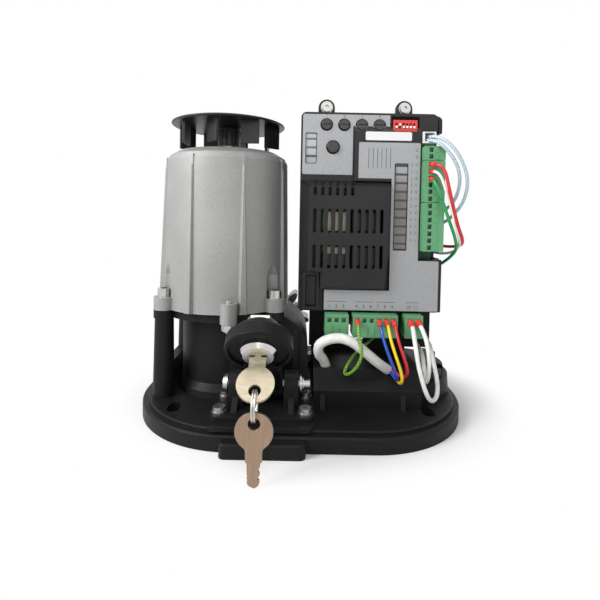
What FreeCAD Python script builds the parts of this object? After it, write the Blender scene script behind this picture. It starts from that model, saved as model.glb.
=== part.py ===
import FreeCAD, Part
import math
import os

# Sliding gate motor, opened up: a cast base with an upright motor, a worm gearbox with a rack
# pinion at the back, a keyed release lever at the front and a control box on the right.
# Millimetres, +Z up, the front faces -Y. The origin is the middle of the base's underside.

V = FreeCAD.Vector
os.makedirs("parts", exist_ok=True)
X, Y, Z = V(1, 0, 0), V(0, 1, 0), V(0, 0, 1)

# ---------------------------------------------------------------- driving dimensions
BASE_W, BASE_D, BASE_R = 236.0, 177.0, 74.0     # base plan, with its corner radius
RIM_H, DECK_H = 10.0, 12.5                      # outer rim and the raised deck inside it
DECK_INSET = 4.0
MX, MY = -60.0, -6.0                            # motor axis
CAN_Z0, CAN_Z1 = 75.0, 191.0                    # motor housing, bottom and top
CAN_R0, CAN_R1 = 48.5, 46.2                     # its radius at the bottom and at the shoulder
LUG_X, LUG_Y = 39.5, 31.0                       # housing screws, from the motor axis
FAN_Z, FAN_R = 211.5, 43.5
OX, OZ = -25.0, 44.0                            # output shaft, along Y
WORM_M, WHEEL_T = 1.5, 32                       # worm pair: module and wheel teeth
RACK_M, RACK_T = 4.0, 14                        # pinion for a module 4 rack
PINION_Y0, PINION_W = 62.0, 22.0
PIVOT_Y, PIVOT_Z = -57.0, 30.0                  # release lever pivot
TILT = 40.0                                     # the lock looks this far below level
FACE_Y, FACE_Z = -104.0, 66.0                   # middle of the lever head's face
BOX_X0, BOX_X1 = -3.5, 100.0                    # control box
BOX_Z0, BOX_Z1 = 75.0, 218.5
BOX_Y0, BOX_Y1 = -34.0, -2.0                    # front and back planes
RAISED_Y = -37.0                                # raised label panel
VENT_Y = -42.0                                  # front of the vent cover
PITCH = 5.08                                    # terminals and switches


# ---------------------------------------------------------------- helpers
def box(x0, x1, y0, y1, z0, z1):
    return Part.makeBox(x1 - x0, y1 - y0, z1 - z0, V(x0, y0, z0))


def cyl(r, h, base, axis=Z):
    return Part.makeCylinder(r, h, V(*base), axis)


def cone(r0, r1, h, base, axis=Z):
    return Part.makeCone(r0, r1, h, V(*base), axis)


def fuse(first, *rest):
    return first.multiFuse([r for r in rest]).removeSplitter()


def cut(body, *tools):
    for tool in tools:
        body = body.cut(tool)
    return body


def compound(shapes):
    return Part.makeCompound(list(shapes))


def polygon(points, axis_height, direction):
    """A prism from flat points, pushed along a direction."""
    wire = Part.makePolygon([V(*p) for p in points] + [V(*points[0])])
    return Part.Face(wire).extrude(direction * axis_height)


def rounded_plate(w, d, r, z0, z1, cx=0.0, cy=0.0):
    """An upright plate with round corners."""
    plate = box(cx - w / 2, cx + w / 2, cy - d / 2, cy + d / 2, z0, z1)
    upright = [e for e in plate.Edges if abs(e.tangentAt(e.FirstParameter).z) > 0.99]
    return plate.makeFillet(r, upright)


def soften(shape, r, wanted):
    """Rounds the edges that a test picks, one size for all."""
    return shape.makeFillet(r, [e for e in shape.Edges if wanted(e)])


def export(name, shape):
    shape.exportStep("parts/%s.step" % name)


def hex_prism(across, h, base, axis):
    r = across / math.sqrt(3)
    points = [V(r * math.cos(math.radians(60 * i)), r * math.sin(math.radians(60 * i)), 0) for i in range(7)]
    prism = Part.Face(Part.makePolygon(points)).extrude(V(0, 0, h))
    prism.Placement = FreeCAD.Placement(V(*base), FreeCAD.Rotation(Z, axis))
    return prism


def screw(base, head_r, head_h, shank_r, length, axis=Z, socket=2.0, washer=0.0):
    """A screw whose head sits on `base` and whose shank goes the other way."""
    place = FreeCAD.Placement(V(*base), FreeCAD.Rotation(Z, axis))
    seat = 1.2 if washer else 0.0
    body = cyl(head_r, head_h, (0, 0, seat)).fuse(cyl(shank_r, length + seat, (0, 0, -length)))
    if washer:
        body = body.fuse(cyl(washer, seat, (0, 0, 0)))
    body = body.cut(hex_prism(socket * 2, head_h * 0.6, (0, 0, seat + head_h * 0.4), Z))
    body.Placement = place
    return body


def gear_wire(module, teeth, thin=0.0, outer=1.0, root=1.25):
    """Outline of a spur gear: straight-sided roots, curved flanks and arcs at the tips."""
    rp = module * teeth / 2
    ra, rr = rp + outer * module, rp - root * module
    rb = rp * math.cos(math.radians(20))
    half = math.pi / (2 * teeth) - thin / (2 * rp)
    inv = lambda a: math.tan(a) - a
    at_pitch = inv(math.radians(20))

    def flank(r):
        return half + at_pitch - inv(math.acos(min(1.0, rb / r)))

    def at(r, a):
        return V(r * math.cos(a), r * math.sin(a), 0)

    start = max(rr, rb * 1.0001)
    edges = []
    step = 2 * math.pi / teeth
    radii = [start + (ra - start) * i / 3 for i in range(4)]
    for n in range(teeth):
        mid = n * step
        up = [at(r, mid - flank(r)) for r in radii]
        down = [at(r, mid + flank(r)) for r in reversed(radii)]
        if start > rr:
            edges.append(Part.LineSegment(at(rr, mid - flank(start)), up[0]).toShape())
        rise = Part.BSplineCurve()
        rise.interpolate(up)
        edges.append(rise.toShape())
        edges.append(Part.Arc(up[-1], at(ra, mid), down[0]).toShape())
        fall = Part.BSplineCurve()
        fall.interpolate(down)
        edges.append(fall.toShape())
        if start > rr:
            edges.append(Part.LineSegment(down[-1], at(rr, mid + flank(start))).toShape())
        a0, a1 = mid + flank(start), mid + step - flank(start)
        edges.append(Part.Arc(at(rr, a0), at(rr, (a0 + a1) / 2), at(rr, a1)).toShape())
    return Part.Wire(edges)


def along_y(shape, x, y, z):
    """Stands a shape made along +Z on the output axis, pointing to the back."""
    shape.Placement = FreeCAD.Placement(V(x, y, z), FreeCAD.Rotation(X, -90)).multiply(shape.Placement)
    return shape


# ---------------------------------------------------------------- base casting
SLOT_X, SLOT_Y, SLOT_W, SLOT_L = 86.0, 56.0, 8.5, 15.0
BOSS_X0, BOSS_X1, BOSS_Y, BOSS_H = -49.0, 3.0, -96.0, 9.0
HUB_X, HUB_Y, HUB_R, HUB_H = 79.0, -7.0, 35.0, 31.0
FLANGE_SCREWS = [(-84.0, 32.0), (-60.0, 37.0), (8.0, 34.0)]
BRACKET_SCREWS = [(-52.6, -73.0), (-52.6, -48.4), (2.6, -73.0), (2.6, -48.4)]


def slot(x, y):
    half = (SLOT_L - SLOT_W) / 2
    low, high = -1.0, DECK_H + 10
    tool = box(x - SLOT_W / 2, x + SLOT_W / 2, y - half, y + half, low, high)
    return tool.fuse(cyl(SLOT_W / 2, high - low, (x, y - half, low))).fuse(
        cyl(SLOT_W / 2, high - low, (x, y + half, low)))


def make_base():
    rim = rounded_plate(BASE_W, BASE_D, BASE_R, 0, RIM_H)
    rim = soften(rim, 1.5, lambda e: abs(e.CenterOfMass.z - RIM_H) < 0.01)
    inset = 2 * DECK_INSET
    deck = rounded_plate(BASE_W - inset, BASE_D - inset, BASE_R - DECK_INSET, RIM_H - 2, DECK_H)
    deck = soften(deck, 1.0, lambda e: abs(e.CenterOfMass.z - DECK_H) < 0.01)
    front = rounded_plate(BOSS_X1 - BOSS_X0, 30.0, 4.0, 0, BOSS_H, (BOSS_X0 + BOSS_X1) / 2, BOSS_Y + 15)
    front = soften(front, 1.5, lambda e: abs(e.CenterOfMass.z - BOSS_H) < 0.01)
    seat = rounded_plate(66.0, 46.0, 5.0, DECK_H - 1, DECK_H + 2.0, OX, -63.5)
    seat = seat.cut(cyl(37.2, 10, (MX, MY, DECK_H - 2)))

    # the cast block under the control box: sloped front, two ribs on its face
    z0 = DECK_H - 1
    block = polygon([(8.5, -54, z0), (8.5, -54, 24.5), (8.5, -41, 35), (8.5, 24, 35), (8.5, 24, z0)], 76.5, X)
    ribs = [polygon([(x, -57, z0), (x, -54, 22), (x, -53, z0)], 3, X) for x in (13.0, 68.0)]
    hub = cone(HUB_R + 1, HUB_R, HUB_H - z0 - 6, (HUB_X, HUB_Y, z0))
    hub = hub.fuse(cone(HUB_R - 3, HUB_R - 3.5, 6, (HUB_X, HUB_Y, HUB_H - 6)))
    pad = cyl(9, HUB_H - z0, (HUB_X + 25, HUB_Y + 22, z0))

    columns = []
    for sx, sy in ((-1, -1), (-1, 1)):
        columns.append(cone(7.5, 6.6, CAN_Z0 - 6 - z0, (MX + sx * LUG_X, MY + sy * LUG_Y, z0)))
    web = box(MX - 46, MX - 39, MY - LUG_Y, MY + LUG_Y, z0, 30)
    end = rounded_plate(9.0, 26.0, 2.0, z0, 22.0, -109.0, 0.0)

    body = fuse(rim, deck, front, seat, block, *ribs, hub, pad, web, end, *columns)

    # open underside with stiffening ribs
    pocket = rounded_plate(BASE_W - 16, BASE_D - 16, BASE_R - 8, -1, 6.5)
    for x in (-SLOT_X, -30.0, 30.0, SLOT_X):
        pocket = pocket.cut(box(x - 1.8, x + 1.8, -BASE_D, BASE_D, -2, 8))
    for y in (-SLOT_Y, 0.0, SLOT_Y):
        pocket = pocket.cut(box(-BASE_W, BASE_W, y - 1.8, y + 1.8, -2, 8))
    for sx in (-1, 1):
        for sy in (-1, 1):
            pocket = pocket.cut(cyl(14, 10, (sx * SLOT_X, sy * SLOT_Y, -2)))
    body = body.cut(pocket)
    body = cut(body, *[slot(sx * SLOT_X, sy * SLOT_Y) for sx in (-1, 1) for sy in (-1, 1)])
    # run-out for the rack pinion, cable entry and tapped holes
    body = body.cut(cyl(37.0, PINION_W + 60, (OX, PINION_Y0 - 3, OZ), Y))
    body = body.cut(rounded_plate(40, 22, 6, -1, DECK_H + 1, 54, 62))
    holes = [cyl(2.1, 12, (x, y, 4.0)) for x, y in BRACKET_SCREWS + FLANGE_SCREWS]
    holes += [cyl(3.05, 30, (MX - LUG_X, MY + s * LUG_Y, CAN_Z0 - 29)) for s in (-1, 1)]
    holes.append(cyl(7, 12, (HUB_X + 22, HUB_Y - 12, HUB_H - 5)))
    return cut(body, *holes)


# ---------------------------------------------------------------- gearbox
GEAR_R, GEAR_FLANGE_R = 33.0, 36.0
BARREL_R = 29.5
WHEEL_W = 12.0
PLUNGER_R = 5.0


def make_gearbox():
    z0 = DECK_H
    tower = cyl(GEAR_R, CAN_Z0 - z0, (MX, MY, z0))
    foot = cone(GEAR_FLANGE_R + 0.6, GEAR_FLANGE_R, 4, (MX, MY, z0))
    foot = foot.fuse(cone(GEAR_FLANGE_R, GEAR_R, 5, (MX, MY, z0 + 4)))
    barrel = cyl(BARREL_R, 62, (OX, -38, OZ), Y)
    skirt = box(OX - BARREL_R, OX + BARREL_R, -38, 24, z0, OZ)
    rear = cyl(17, 34, (OX, 24, OZ), Y)
    rear_foot = box(OX - 10, OX + 10, 24, 54, z0, OZ)
    front = cone(15, 13, 6, (OX, -38, OZ), V(0, -1, 0))
    plate = cyl(CAN_R0 - 2.5, 6, (MX, MY, CAN_Z0 - 6))
    lugs = []
    for sx in (-1, 1):
        for sy in (-1, 1):
            lugs.append(cyl(7.5, 6, (MX + sx * LUG_X, MY + sy * LUG_Y, CAN_Z0 - 6)))
    feet = [cyl(6.5, 5, (x, y, z0)) for x, y in FLANGE_SCREWS]
    links = [box(-25, 8, 24, 38, z0, z0 + 5), box(-66.5, -53.5, 20, 37, z0, z0 + 5)]
    links.append(polygon([(-78, 36, z0), (-90, 29, z0), (-84, 16, z0), (-66, 26, z0)], 5, Z))
    ribs = [box(x - 1.5, x + 1.5, -40.3, -37, z0, OZ + 18) for x in (OX - 20, OX + 20)]
    body = fuse(tower, foot, barrel, skirt, rear, rear_foot, front, plate, *lugs, *feet, *links, *ribs)

    # working space: worm bore from the top, wheel space from below, seats for the bearings
    body = body.cut(cyl(13.5, CAN_Z0, (MX, MY, z0 + 9)))
    body = body.cut(cyl(8.0, 20, (MX, MY, z0 + 3)))
    body = body.cut(cyl(26.3, 18, (OX, MY - 9, OZ), Y))
    body = body.cut(box(OX - 26.3, OX + 26.3, MY - 9, MY + 9, z0 - 1, OZ))
    body = body.cut(cyl(10.5, 100, (OX, -37, OZ), Y))
    body = body.cut(cyl(PLUNGER_R + 0.05, 10, (OX, -46, OZ), Y))
    body = body.cut(cyl(13.5, 9, (OX, -33, OZ), Y))
    body = body.cut(cyl(13.5, 12, (OX, 47, OZ), Y))
    for x, y in FLANGE_SCREWS:
        body = body.cut(cyl(2.6, 10, (x, y, z0 - 1)))
    for sx in (-1, 1):
        for sy in (-1, 1):
            body = body.cut(cyl(3.3, 16, (MX + sx * LUG_X, MY + sy * LUG_Y, CAN_Z0 - 12)))
    return body


# ---------------------------------------------------------------- motor
RIB_COUNT = 8
SCALLOP_R = 6.3
LUG_TOP = CAN_Z0 + 9


def make_motor_housing():
    # turned profile: wall, shoulder, top with a bearing collar
    outer = [(0, CAN_Z0), (CAN_R0, CAN_Z0), (CAN_R1, 183), (CAN_R1 - 2, 187), (CAN_R1 - 7, 190),
             (CAN_R1 - 9, CAN_Z1), (12, CAN_Z1), (11, CAN_Z1 + 2), (0, CAN_Z1 + 2)]
    profile = Part.makePolygon([V(r, 0, z) for r, z in outer + [outer[0]]])
    can = Part.Face(profile).revolve(V(0, 0, 0), Z, 360)
    inner = cyl(STATOR_R, 104, (0, 0, CAN_Z0 - 1)).fuse(cyl(STATOR_R + 2.5, 22, (0, 0, CAN_Z0 - 1)))
    ribs = []
    for n in range(RIB_COUNT):
        rib = polygon([(CAN_R0 - 3, -3.6, CAN_Z0), (CAN_R0 + 0.9, -3.6, CAN_Z0),
                       (CAN_R0 + 0.9, 3.6, CAN_Z0), (CAN_R0 - 3, 3.6, CAN_Z0)], 0.01, Z)
        low = Part.makePolygon([V(CAN_R0 - 3, -3.6, CAN_Z0), V(CAN_R0 + 1.0, -2.8, CAN_Z0),
                                V(CAN_R0 + 1.0, 2.8, CAN_Z0), V(CAN_R0 - 3, 3.6, CAN_Z0),
                                V(CAN_R0 - 3, -3.6, CAN_Z0)])
        high = Part.makePolygon([V(CAN_R1 - 4, -1.3, 185), V(CAN_R1 + 0.6, -0.8, 185),
                                 V(CAN_R1 + 0.6, 0.8, 185), V(CAN_R1 - 4, 1.3, 185),
                                 V(CAN_R1 - 4, -1.3, 185)])
        rib = Part.makeLoft([low, high], True, True)
        rib.rotate(V(0, 0, 0), Z, 22.5 + 45 * n)
        ribs.append(rib)
    lugs = []
    scallops = []
    holes = []
    for sx in (-1, 1):
        for sy in (-1, 1):
            x, y = sx * LUG_X, sy * LUG_Y
            lugs.append(cyl(7.5, LUG_TOP - CAN_Z0, (x, y, CAN_Z0)))
            scallops.append(cyl(SCALLOP_R, 16, (x, y, LUG_TOP)))
            scallops.append(cone(SCALLOP_R, 0.5, 12, (x, y, LUG_TOP + 16)))
            holes.append(cyl(3.3, 20, (x, y, CAN_Z0 - 1)))
    earth = cyl(5.8, 14, (10, -50.5, CAN_Z0 - 5)).fuse(box(6, 14, -50, -42, CAN_Z0 - 5, CAN_Z0 + 9))
    earth = earth.cut(cyl(CAN_R0 - 2.4, 6, (0, 0, CAN_Z0 - 6)))
    body = fuse(can, *ribs, *lugs, earth)
    body = cut(body, inner, *scallops, *holes)
    body = body.cut(cyl(2.2, 30, (10, -51.5, CAN_Z0 - 8)))
    body = body.cut(cyl(13.0, 8, (0, 0, CAN_Z1 - 9)))
    body = body.cut(cyl(7.2, 32, (0, 0, CAN_Z1 - 15)))
    body.translate(V(MX, MY, 0))
    return body


def make_housing_screws():
    heads = []
    for sx in (-1, 1):
        for sy in (-1, 1):
            heads.append(screw((MX + sx * LUG_X, MY + sy * LUG_Y, LUG_TOP), 5.0, 6.0, 2.9, 18, Z, 2.5))
    nut = hex_prism(8.0, 4.0, (MX + 10, MY - 51.5, CAN_Z0 - 9.5), Z)
    stud = cyl(1.95, 22, (MX + 10, MY - 51.5, CAN_Z0 - 11))
    return compound(heads + [nut.fuse(stud)])


STATOR_R, STATOR_BORE = 39.0, 24.0


def make_stator():
    stack = cyl(STATOR_R, 62, (MX, MY, 98)).cut(cyl(STATOR_BORE, 70, (MX, MY, 95)))
    for z in (86.0, 160.0):
        ring = cyl(36, 12, (MX, MY, z)).cut(cyl(26, 14, (MX, MY, z - 1)))
        stack = stack.fuse(soften(ring, 3.0, lambda e: e.Curve.TypeId == "Part::GeomCircle"))
    return stack


SHAFT_R = 6.0
WORM_R = (2 * (OX - MX) - WORM_M * WHEEL_T) / 2       # pitch radius that fills the centre distance


def make_motor_shaft():
    pitch = math.pi * WORM_M
    root = WORM_R - 1.2 * WORM_M
    turns = 7
    z_low = OZ - pitch * turns / 2
    core = cyl(root, 44, (MX, MY, OZ - 20))
    helix = Part.makeHelix(pitch, pitch * turns, root)
    half_root, half_tip, tip = 1.25, 0.62, WORM_M * 2.0
    section = Part.makePolygon([V(root - 0.6, 0, -half_root), V(root + tip, 0, -half_tip),
                                V(root + tip, 0, half_tip), V(root - 0.6, 0, half_root),
                                V(root - 0.6, 0, -half_root)])
    thread = Part.Wire(helix).makePipeShell([section], True, True)
    # at the wheel's level a gap of the thread faces the wheel's nearest tooth
    thread.translate(V(MX, MY, z_low))
    body = core.fuse(thread)
    body = body.fuse(cyl(SHAFT_R, 179, (MX, MY, DECK_H + 4.5)))
    body = body.fuse(cyl(5.0, 18, (MX, MY, FAN_Z - 18.2)))
    return body


def make_rotor():
    rotor = cyl(STATOR_BORE - 0.6, 62, (MX, MY, 98))
    rings = [cyl(21, 6, (MX, MY, 92)), cyl(21, 6, (MX, MY, 160))]
    return rotor.fuse(rings[0]).fuse(rings[1]).cut(cyl(SHAFT_R, 100, (MX, MY, 80)))


def make_fan():
    disc = cone(FAN_R, FAN_R - 1, 2.2, (0, 0, FAN_Z))
    hub = cyl(11, 13, (0, 0, FAN_Z - 13))
    blades = []
    for n in range(8):
        blade = box(12, FAN_R - 3.0, -0.9, 0.9, FAN_Z - 16.5, FAN_Z + 0.5)
        blade = blade.cut(cone(17, 30, 6, (0, 0, FAN_Z - 17)))
        blade = blade.fuse(box(10, 14, -0.9, 0.9, FAN_Z - 11, FAN_Z))
        blade.rotate(V(0, 0, 0), Z, 12 + 45 * n)
        blades.append(blade)
    body = fuse(disc, hub, *blades).cut(cyl(5.0, 13.9, (0, 0, FAN_Z - 14)))
    body.translate(V(MX, MY, 0))
    return body


def make_bearings():
    def ring(outer, inner, h, base, axis):
        return cyl(outer, h, base, axis).cut(cyl(inner, h, base, axis))
    return compound([
        ring(13.0, SHAFT_R + 0.05, 8, (MX, MY, CAN_Z1 - 9), Z),
        ring(8.0, SHAFT_R + 0.05, 6, (MX, MY, DECK_H + 3), Z),
        ring(13.5, 9.05, 9, (OX, -33, OZ), Y),
        ring(13.5, 9.05, 12, (OX, 47, OZ), Y)])


# ---------------------------------------------------------------- output
def make_wheel():
    wire = gear_wire(WORM_M, WHEEL_T, thin=1.0, outer=0.9)
    wheel = Part.Face(wire).extrude(V(0, 0, WHEEL_W))
    web = cyl(19, 3, (0, 0, -0.5)).cut(cyl(13, 3, (0, 0, -0.5)))
    top = web.copy()
    top.translate(V(0, 0, WHEEL_W - 2))
    wheel = wheel.cut(web).cut(top).cut(cyl(9.0, 20, (0, 0, -1)))
    for n in range(6):
        a = math.radians(60 * n)
        wheel = wheel.cut(cyl(2.5, 20, (16 * math.cos(a), 16 * math.sin(a), -1)))
    return along_y(wheel, OX, MY - WHEEL_W / 2, OZ)


def make_output_shaft():
    shaft = cyl(9.0, 122, (OX, -36, OZ), Y)
    return shaft.cut(cyl(2.5, 14, (OX, 73, OZ), Y)).cut(cyl(3.6, 14, (OX, -37, OZ), Y))


def make_pinion():
    wire = gear_wire(RACK_M, RACK_T, thin=0.15)
    gear = Part.Face(wire).extrude(V(0, 0, PINION_W))
    gear = gear.fuse(cyl(17, 2.0, (0, 0, -2.0)))
    gear = gear.cut(cyl(9.0, 40, (0, 0, -5))).cut(cyl(11.5, 5, (0, 0, PINION_W - 4)))
    return along_y(gear, OX, PINION_Y0, OZ)


def make_pinion_bolt():
    top = PINION_Y0 + PINION_W
    washer = cyl(11.2, 2.0, (OX, top + 2.1, OZ), Y)
    bolt = screw((OX, top + 4.1, OZ), 6.5, 4.0, 2.4, 14, Y, 2.4)
    return washer.fuse(bolt)


# ---------------------------------------------------------------- release lever and lock
def tilted(shape):
    """Places a shape made on a +Z axis so that it looks out of the lever head's face."""
    rotation = FreeCAD.Rotation(X, 90 + TILT)
    shape.Placement = FreeCAD.Placement(V(OX, FACE_Y, FACE_Z), rotation).multiply(shape.Placement)
    return shape


EARS = ((-48.0, -38.5), (-11.5, -2.0))


def make_bracket():
    z0 = DECK_H + 2.0
    parts = []
    for x0, x1 in EARS:
        ear = box(x0, x1, PIVOT_Y - 9, PIVOT_Y + 9, z0, PIVOT_Z)
        ear = ear.fuse(cyl(9, x1 - x0, (x0, PIVOT_Y, PIVOT_Z), X))
        brace = polygon([(x0 + 3, PIVOT_Y - 9, z0), (x0 + 3, PIVOT_Y - 9, PIVOT_Z - 6),
                         (x0 + 3, PIVOT_Y - 21, z0)], x1 - x0 - 6, X)
        parts += [ear, brace]
    plate = rounded_plate(66, 37, 5, z0, z0 + 3.0, OX, -61.5)
    body = fuse(plate, *parts)
    body = body.cut(cyl(3.05, 80, (OX - 40, PIVOT_Y, PIVOT_Z), X))
    return cut(body, *[cyl(2.2, 10, (x, y, z0 - 1)) for x, y in BRACKET_SCREWS])


def make_lever():
    # hub on the pivot, a curved arm and the round head that carries the lock
    hub = cyl(8, 25, (OX - 12.5, PIVOT_Y, PIVOT_Z), X)
    head = cyl(19.5, 8, (0, 0, -8)).fuse(cone(15, 19.5, 5, (0, 0, -13)))
    head = soften(head, 1.0, lambda e: abs(e.CenterOfMass.z) < 0.01)
    head = head.cut(cyl(17.5, 3.0, (0, 0, -2.0)))
    neck = cyl(10.5, 7, (0, 0, -17))
    head = tilted(head.fuse(neck))
    arm = Part.makeLoft([
        Part.makePolygon([V(OX - 12, -61, 24), V(OX + 12, -61, 24), V(OX + 12, -51, 34),
                          V(OX - 12, -51, 34), V(OX - 12, -61, 24)]),
        Part.makePolygon([V(OX - 12, -78, 42), V(OX + 12, -78, 42), V(OX + 12, -66, 50),
                          V(OX - 12, -66, 50), V(OX - 12, -78, 42)]),
        Part.makePolygon([V(OX - 9, -97, 56), V(OX + 9, -97, 56), V(OX + 9, -86, 68),
                          V(OX - 9, -86, 68), V(OX - 9, -97, 56)])], True, False)
    ring = tilted(cyl(14.6, 11, (0, 0, -13)))
    body = hub.fuse(arm.fuse(ring)).fuse(head)
    body = body.cut(cyl(3.0, 60, (OX - 30, PIVOT_Y, PIVOT_Z), X))
    bore = tilted(cyl(8.5, 40, (0, 0, -30)))
    return body.cut(bore)


def make_pivot_pin():
    pin = cyl(3.0, 58, (OX - 27.3, PIVOT_Y, PIVOT_Z), X)
    head = cone(6.5, 5.5, 3.0, (OX - 23.3 - 1.0, PIVOT_Y, PIVOT_Z), V(-1, 0, 0))
    washer = cyl(6.5, 1.2, (OX + 24.0, PIVOT_Y, PIVOT_Z), X)
    clip = cyl(4.5, 1.0, (OX + 25.6, PIVOT_Y, PIVOT_Z), X)
    return fuse(pin, head, washer, clip)


def make_lock_body():
    barrel = cyl(8.5, 20.0, (0, 0, -19))
    bezel = cone(10.6, 8.8, 2.6, (0, 0, 0.0)).fuse(cyl(10.6, 1.8, (0, 0, -2.0 + 0.2)))
    body = barrel.fuse(bezel)
    return tilted(body.cut(cyl(6.05, 60, (0, 0, -40))))


def make_lock_nut():
    return tilted(hex_prism(19.0, 2.0, (0, 0, -19.0), Z).cut(cyl(8.5, 6, (0, 0, -20))))


KEY_T = 1.8
KEY_HOLE, KEY_HOLE_R = 4.0, 3.3       # the hole's place above the bow's middle, and its radius
BOW_R = 10.2
BOW_AT = 18.5            # bow centre, out from the lock face


def key_shape(blade):
    """A key on the XY plane: bow centre at the origin, blade along -Y."""
    bow = cyl(BOW_R, KEY_T, (0, 0, -KEY_T / 2))
    shoulder = box(-4.6, 4.6, -15.5, 0, -KEY_T / 2, KEY_T / 2)
    tip = 30.1 if blade else 17.0
    points = [(-3.4, -15, 0), (3.4, -15, 0), (3.4, -tip + 3, 0), (0.8, -tip, 0), (-3.4, -tip + 2, 0)]
    stem = polygon([(x, y, -KEY_T / 2) for x, y, _ in points], KEY_T, Z)
    body = fuse(bow, shoulder, stem)
    body = body.cut(cyl(KEY_HOLE_R, 6, (0, KEY_HOLE, -3)))
    if blade:
        for n, deep in enumerate((1.1, 2.0, 0.9, 1.8)):
            y = -17.6 - 2.3 * n
            notch = polygon([(3.6, y - 1.1, -2), (3.6, y + 1.1, -2), (3.6 - deep, y, -2)], 4, Z)
            body = body.cut(notch)
    return body


def make_key_in_lock():
    key = key_shape(False)
    key.rotate(V(0, 0, 0), X, 90)
    # the bow points out of the lock
    key.translate(V(0, 0, BOW_AT))
    return tilted(key)


def make_lock_plug():
    plug = cyl(6.0, 22.4, (0, 0, -20.0))
    plug = plug.cut(box(-4.8, 4.8, -KEY_T / 2 - 0.02, KEY_T / 2 + 0.02, 0.0, 6.0))
    plug = plug.fuse(rounded_plate(9.0, 15.0, 3.0, -23.0, -21.0, 0, -3.5))
    plug = plug.fuse(cyl(3.5, 3, (0, 0, -23)))
    return tilted(plug)


def axis_point(s):
    """A point on the lock's axis, s in front of the lever head's face."""
    t = math.radians(TILT)
    return V(OX, FACE_Y - s * math.cos(t), FACE_Z - s * math.sin(t))


RING_R, RING_WIRE = 7.8, 0.65
RING_TOP = axis_point(BOW_AT + KEY_HOLE + 0.3) + V(0, 0, 0.6)     # the wire, just outside the hole's middle
RING_Z = RING_TOP.z - RING_R            # middle of the ring, which hangs straight down
KEY2_DROP = 1.6                         # hole's upper edge above the wire, so that the key can swing
KEY2_Z = RING_Z - RING_R - KEY_HOLE_R + KEY2_DROP           # middle of the spare key's hole


def make_ring():
    coils = [Part.makeTorus(RING_R, RING_WIRE, V(OX + dx, RING_TOP.y, RING_Z), X) for dx in (-0.63, 0.63)]
    return coils[0].fuse(coils[1])


def make_spare_key():
    key = key_shape(True)
    key.rotate(V(0, 0, 0), X, 90)
    key.translate(V(OX, RING_TOP.y, KEY2_Z - KEY_HOLE))
    return key


def make_plunger():
    body = cyl(PLUNGER_R, 8, (OX, -49.5, OZ), Y).fuse(cyl(3.2, 6.5, (OX, -41.5, OZ), Y))
    return body.fuse(cyl(7.5, 2.5, (OX, -51.5, OZ), Y))


# ---------------------------------------------------------------- control box
BRACKET_Y = 2.0
BOARD_Y = -20.0
EAR_Z = BOX_Z1 + 5.0
POSTS = ((6.0, 84.0), (92.0, 84.0), (6.0, 209.0), (88.5, 211.0))


def make_control_bracket():
    # folded steel plate: an upright that carries the box and a foot on the cast block
    plate = box(6.0, 104.0, BRACKET_Y, BRACKET_Y + 3, 38.5, 214.0)
    plate = plate.fuse(box(-2.0, 6.0, BRACKET_Y, BRACKET_Y + 3, 76.0, 214.0))
    foot = box(8.0, 84.0, BRACKET_Y, 23.0, 35.5, 38.5)
    lip = box(-2.0, 1.0, BRACKET_Y, BRACKET_Y + 14, 110.0, 200.0)
    body = fuse(plate, foot, lip)
    body = body.cut(box(28, 50, 0, 8, 42.0, 56.0))
    opening = rounded_plate(32, 90, 8, 0, 8)
    opening.Placement = FreeCAD.Placement(V(78, 8, 150), FreeCAD.Rotation(X, 90))
    body = body.cut(opening)
    return cut(body, *[cyl(2.2, 8, (x, 14, 34), Z) for x in (20.0, 72.0)])


def make_control_box():
    wall = 2.5
    tub = box(BOX_X0, BOX_X1, BOX_Y0 + 6, BOX_Y1, BOX_Z0, BOX_Z1)
    corners = [e for e in tub.Edges if abs(e.tangentAt(e.FirstParameter).y) > 0.99]
    tub = tub.makeFillet(4.0, corners)
    room = box(BOX_X0 + wall, BOX_X1 - wall, BOX_Y0, BOX_Y1 - wall, BOX_Z0 + wall, BOX_Z1 - wall)
    tub = tub.cut(room)
    tub = tub.cut(box(82.0, BOX_X1 + 1, BOX_Y0, -16.0, 114.0, 206.0))
    tub = tub.cut(box(14.0, 90.0, BOX_Y0, -14.0, BOX_Z0 - 1, BOX_Z0 + wall + 1))
    for x in (15.0, 72.0):
        ear = box(x - 6, x + 6, -27, -23, BOX_Z1 - 4, EAR_Z).fuse(cyl(6, 4, (x, -27, EAR_Z), Y))
        tub = tub.fuse(ear)
    for x, z in POSTS:
        tub = tub.fuse(cyl(3.4, 22, (x, -26, z), Y))
    vents = [box(16 + 9 * n, 20 + 9 * n, -8, 0, BOX_Z1 - 14, BOX_Z1 + 1) for n in range(6)]
    tub = cut(tub, *vents)
    for x in (15.0, 72.0):
        tub = tub.cut(cyl(1.9, 8, (x, -29, EAR_Z), Y))
    return tub.removeSplitter()


POTS = [(14.8 + 12.7 * n, 209.6) for n in range(4)]
POT_R = 3.8
BUTTON = (19.7, 193.5)
DIP_X, DIP_Z, DIP_W, DIP_H = 71.2, 209.5, 17.4, 8.4
DIP_PITCH = 2.54
SMALL_WINDOW = (0.2, 7.7, 181.9, 203.3)
LONG_WINDOW = (64.5, 73.2, 121.0, 181.8)
VENT_X0, VENT_X1, VENT_Z0, VENT_Z1 = -2.6, 61.0, 92.5, 169.0
SLOT_PITCH, VENT_SLOT = 5.25, 2.4
PANEL = (35.0, 82.4, 114.0, 205.0)


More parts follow.
